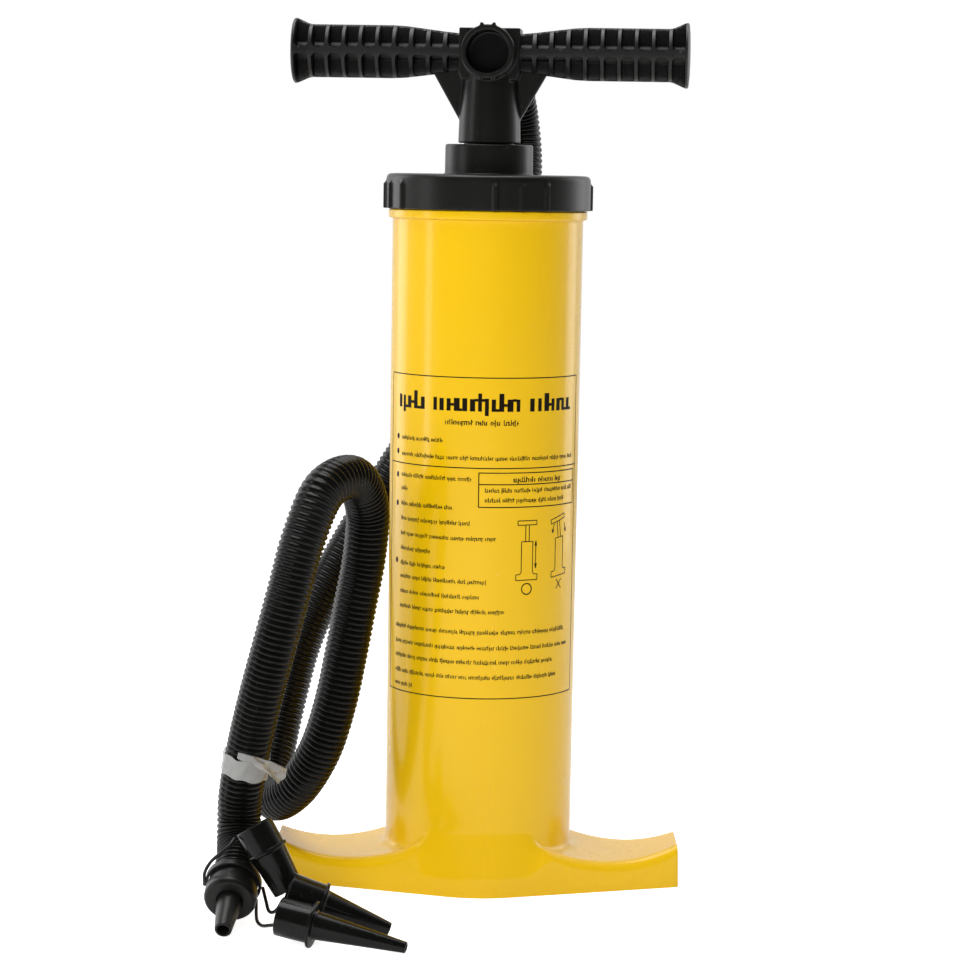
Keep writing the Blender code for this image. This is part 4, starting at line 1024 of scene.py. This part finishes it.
handle = {
    "turn": math.radians(-4.5), "z": 0.4610, "portReach": 0.0250, "connectorEnd": 0.0500,
    "portRadius": 0.0147, "portBore": 0.0117, "portDepth": 0.0165, "halfWidth": 0.0168,
    "halfDepth": 0.0108, "halfHeight": 0.0134, "blockFoot": (0.0150, 0.0150), "blockChamfer": 0.0110,
    "webSpan": 0.0310, "webThickness": 0.0044, "lugX": 0.0034, "lugHalfWidth": 0.0008,
    "lugReach": (0.0136, 0.0157), "lugLength": 0.0035, "innerX": 0.0160, "endX": 0.1093, "waist": 0.0105,
    "grip": 0.0145, "flange": 0.0178, "firstPocket": 0.1036, "pocketPitch": 0.0093,
    "pocketHalfWidth": 0.0036, "pocketCorner": 0.0027, "pocketWall": 0.00045, "pockets": 10,
    "web": 0.0030, "band": 0.0018, "stations": 270, "around": 224, "voxel": 0.00046,
    "neck": [(0.0, 0.4116, 0), (0.0172, 0.4116, 0.0006), (0.0168, 0.4250, 0.004), (0.0150, 0.4480, 0.002),
             (0.0150, 0.4610, 0), (0.0, 0.4610, 0)],
    "neckBores": (((0.0143, 0.4050, 0.4403), 96), ((0.0073, 0.4390, 0.4543), 64)),
    "rod": [(0.0120, 0.0762, 0), (0.0140, 0.0762, 0.0003), (0.0140, 0.4400, 0.0003), (0.0120, 0.4400, 0)],
}


def handlePlace():
    return Matrix.Rotation(handle["turn"], 4, "Z")


def gripRadius(x):
    # waist by the hub, straight hand grip, flared end
    h = handle
    flare = h["endX"] - 0.0010
    knots = [h["innerX"], 0.0258, 0.0385, 0.0464, 0.0540, flare - 0.0095, flare - 0.0075, flare - 0.0012, flare]
    radii = [h["waist"], 0.0115, 0.0131, 0.0141, h["grip"], h["grip"], h["grip"] + 0.0005, h["flange"],
             h["flange"]]
    fine = np.linspace(h["innerX"], flare, 400)
    rough = np.interp(fine, knots, radii)
    kernel = np.hanning(13)
    padded = np.pad(rough, 6, mode="edge")
    return np.interp(x, fine, np.convolve(padded, kernel / kernel.sum(), mode="valid"))


def makeGrip(name, side, node):
    # radius over length and angle: the grip's outline, cut by rows of deep round-cornered
    # pockets down to a thin web that lies in the handle's upright plane
    h = handle
    flare = h["endX"] - 0.0010
    x = np.linspace(h["innerX"], flare, h["stations"])
    angle = np.linspace(0.0, math.tau, h["around"], endpoint=False)
    outer = gripRadius(x)[:, None] + 0 * angle[None, :]
    front = np.abs((angle + math.pi) % math.tau - math.pi)
    folded = np.minimum(front, math.pi - front)[None, :]
    arc = folded * outer
    lowArc, highArc = h["band"], math.radians(84.0) * outer
    middleArc, halfArc = (lowArc + highArc) / 2, (highArc - lowArc) / 2
    number = np.round((h["firstPocket"] - x) / h["pocketPitch"])
    number = np.clip(number, 0, h["pockets"] - 1)
    away = np.abs(x - (h["firstPocket"] - number * h["pocketPitch"]))[:, None]
    corner = h["pocketCorner"]
    dx = away - h["pocketHalfWidth"] + corner
    da = np.abs(arc - middleArc) - halfArc + corner
    distance = (np.hypot(np.maximum(dx, 0.0), np.maximum(da, 0.0)) + np.minimum(np.maximum(dx, da), 0.0)
                - corner)
    inside = eased(np.clip(-distance / h["pocketWall"], 0.0, 1.0))
    floor = np.clip(h["web"] / np.maximum(np.cos(folded), 1e-3), 0.0055, outer - 0.0006)
    radius = outer - inside * (outer - floor)
    rings = np.stack([x[:, None] + 0 * radius, -radius * np.cos(angle), radius * np.sin(angle)], axis=-1)
    dome = [np.stack([flare + lift + 0 * angle, -r * np.cos(angle), r * np.sin(angle)], axis=-1)[None]
            for r, lift in ((h["flange"] - 0.0008, 0.0006), (0.0120, 0.0011), (0.0060, 0.0013), (0.0, 0.0013))]
    start = np.stack([h["innerX"] + 0 * angle, 0 * angle, 0 * angle], axis=-1)[None]
    points = np.concatenate([start, rings, *dome], axis=0)
    points[..., 0] *= side
    # painted shade: points sunk below the grip's outline are marked for the finish to darken the pocket floors
    paintedShade = np.zeros(points.shape[:2])
    paintedShade[1:len(x) + 1] = np.clip((outer - radius) / 0.0040, 0.0, 1.0)
    grip = placeMesh(name, points, gridFaces(len(points), h["around"], closeColumns=True), 45.0, paintedShade)
    grip.data.transform(handlePlace() @ Matrix.Translation((0.0, 0.0, h["z"])))
    return dress(grip, "gripPlastic", "handle", (node,))


def makeHub():
    # neck, block, two ports, four small lugs on the front rim and the two webs under the grips
    h = handle
    top = h["z"]
    raised = np.array([0.0, 0.0, top])

    def portGrid(radius, low, high, lowRound, highRound):
        points, faces = turnedGrid([(0.0, low, 0), (radius, low, lowRound), (radius, high, highRound),
                                    (0.0, high, 0)], 128, "Y")
        return points + raised, faces

    footWidth, footDrop = h["blockFoot"]
    right = [(footWidth, top - footDrop), (h["halfWidth"], top - h["blockChamfer"]),
             (h["halfWidth"], top + h["halfHeight"])]
    block = [(-footWidth, top - footDrop)] + right + [(-x, z) for x, z in right[:0:-1]]
    grids = [turnedGrid(h["neck"], 144),
             portGrid(h["portRadius"], -h["portReach"], h["portReach"], 0.0008, 0.0008),
             prismGrid(block, -h["halfDepth"], h["halfDepth"])]
    for side in (-1, 1):
        web = [(side * 0.0140, 0.4236), (side * 0.0164, 0.4236), (side * h["webSpan"], top - 0.0121),
               (side * (h["webSpan"] - 0.0010), top - 0.0100), (side * 0.0140, top - 0.0070)]
        grids.append(prismGrid(web, -h["webThickness"] / 2, h["webThickness"] / 2))
        left, right = side * h["lugX"] - h["lugHalfWidth"], side * h["lugX"] + h["lugHalfWidth"]
        for edge in (-1, 1):
            low, high = sorted(top + edge * reach for reach in h["lugReach"])
            lug = [(left, low), (right, low), (right, high), (left, high)]
            grids.append(prismGrid(lug, -h["portReach"], -h["portReach"] + h["lugLength"]))
    beyond = h["portReach"] + 0.004
    bottom = h["portReach"] - h["portDepth"]
    bores = [portGrid(h["portBore"], low, high, 0, 0.0006) for low, high in ((-beyond, -bottom), (bottom, beyond))]
    bores += [turnedGrid([(0.0, low, 0), (radius, low, 0), (radius, high, 0), (0.0, high, 0)], segments)
              for (radius, low, high), segments in h["neckBores"]]
    hub = blendedUnion("hubAndNeck", grids, bores, h["voxel"], 5)
    # painted shade: points inside the two port bores, fading out towards the rims, are marked for the finish to
    # darken
    spots = np.empty(len(hub.data.vertices) * 3)
    hub.data.vertices.foreach_get("co", spots)
    spots = spots.reshape(-1, 3)
    fromPort = np.hypot(spots[:, 0], spots[:, 2] - top)
    deep = np.clip((h["portBore"] + 0.0003 - fromPort) / 0.0004, 0.0, 1.0)
    deep *= np.clip((h["portReach"] - 0.0012 - np.abs(spots[:, 1])) / 0.0050, 0.0, 1.0)
    hub.data.attributes.new("paintedShade", "FLOAT", "POINT").data.foreach_set("value", deep)
    hub.data.transform(handlePlace())
    return dress(hub, "blackPlastic", "handle", ("handle_hub",))


def makeHandle():
    makeHub()
    makeGrip("gripRight", 1, "grip_right")
    makeGrip("gripLeft", -1, "grip_left")
    h = handle
    dress(turnedPiece("pistonRod", h["rod"], 96), "blackPlastic", "handle", ("piston_rod",))
    corners = [
        (0.0085, 0.0105, 0), (0.0110, 0.0105, 0.0004), (0.0114, h["portReach"] + 0.0003, 0.0001),
        (0.0150, h["portReach"] + 0.0003, 0.0005), (0.0150, h["portReach"] + 0.0035, 0.0008),
        (0.0132, h["portReach"] + 0.0045, 0.0005), (0.0132, h["connectorEnd"], 0.0008),
        (0.0085, h["connectorEnd"], 0)]
    lay = handlePlace() @ Matrix.Translation((0.0, 0.0, h["z"])) @ Matrix.Rotation(-math.pi / 2, 4, "X")
    connector = turnedPiece("hoseConnector", corners, 96, lay)
    return dress(connector, "blackPlastic", "handle", ("hose_connector",))


def dressCadNodes():
    # the working parts inside keep their CAD shape
    groups = {
        "sealRubber": ("cap_gasket", "rod_seal", "piston_seal_upper", "piston_seal_lower", "valve_intake_top",
                       "valve_intake_bottom", "valve_delivery_top", "valve_delivery_bottom"),
        "bushPlastic": ("rod_bush",),
        "blackPlastic": ("guide_retainer", "air_tube"),
        "pistonPlastic": ("piston_crown", "piston_middle_plate", "piston_floor", "valve_pin_intake_top",
                          "valve_pin_intake_bottom", "valve_pin_delivery_top", "valve_pin_delivery_bottom"),
        "screwSteel": ("piston_screw_1", "piston_screw_2", "piston_screw_3", "piston_screw_4"),
    }
    for finish, names in groups.items():
        for name in names:
            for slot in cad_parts[name].material_slots:
                slot.material = materials[finish]


makeCamera()
makeLights()
makeFloor()
materials = makeFinishes()
print("camera, lights and finishes ready")
connector = makeHandle()
print("handle made")
hoseTube, hosePoints, hoseLength = makeHose()
ends = makeHoseEnd()
filmTie = makeTieBand(hosePoints)
makeLanyards()
print("hose made, length", round(float(hoseLength), 3))
makeBarrel()
makeLabel()
makeCap()
dressCadNodes()
print("barrel, label and cap made")
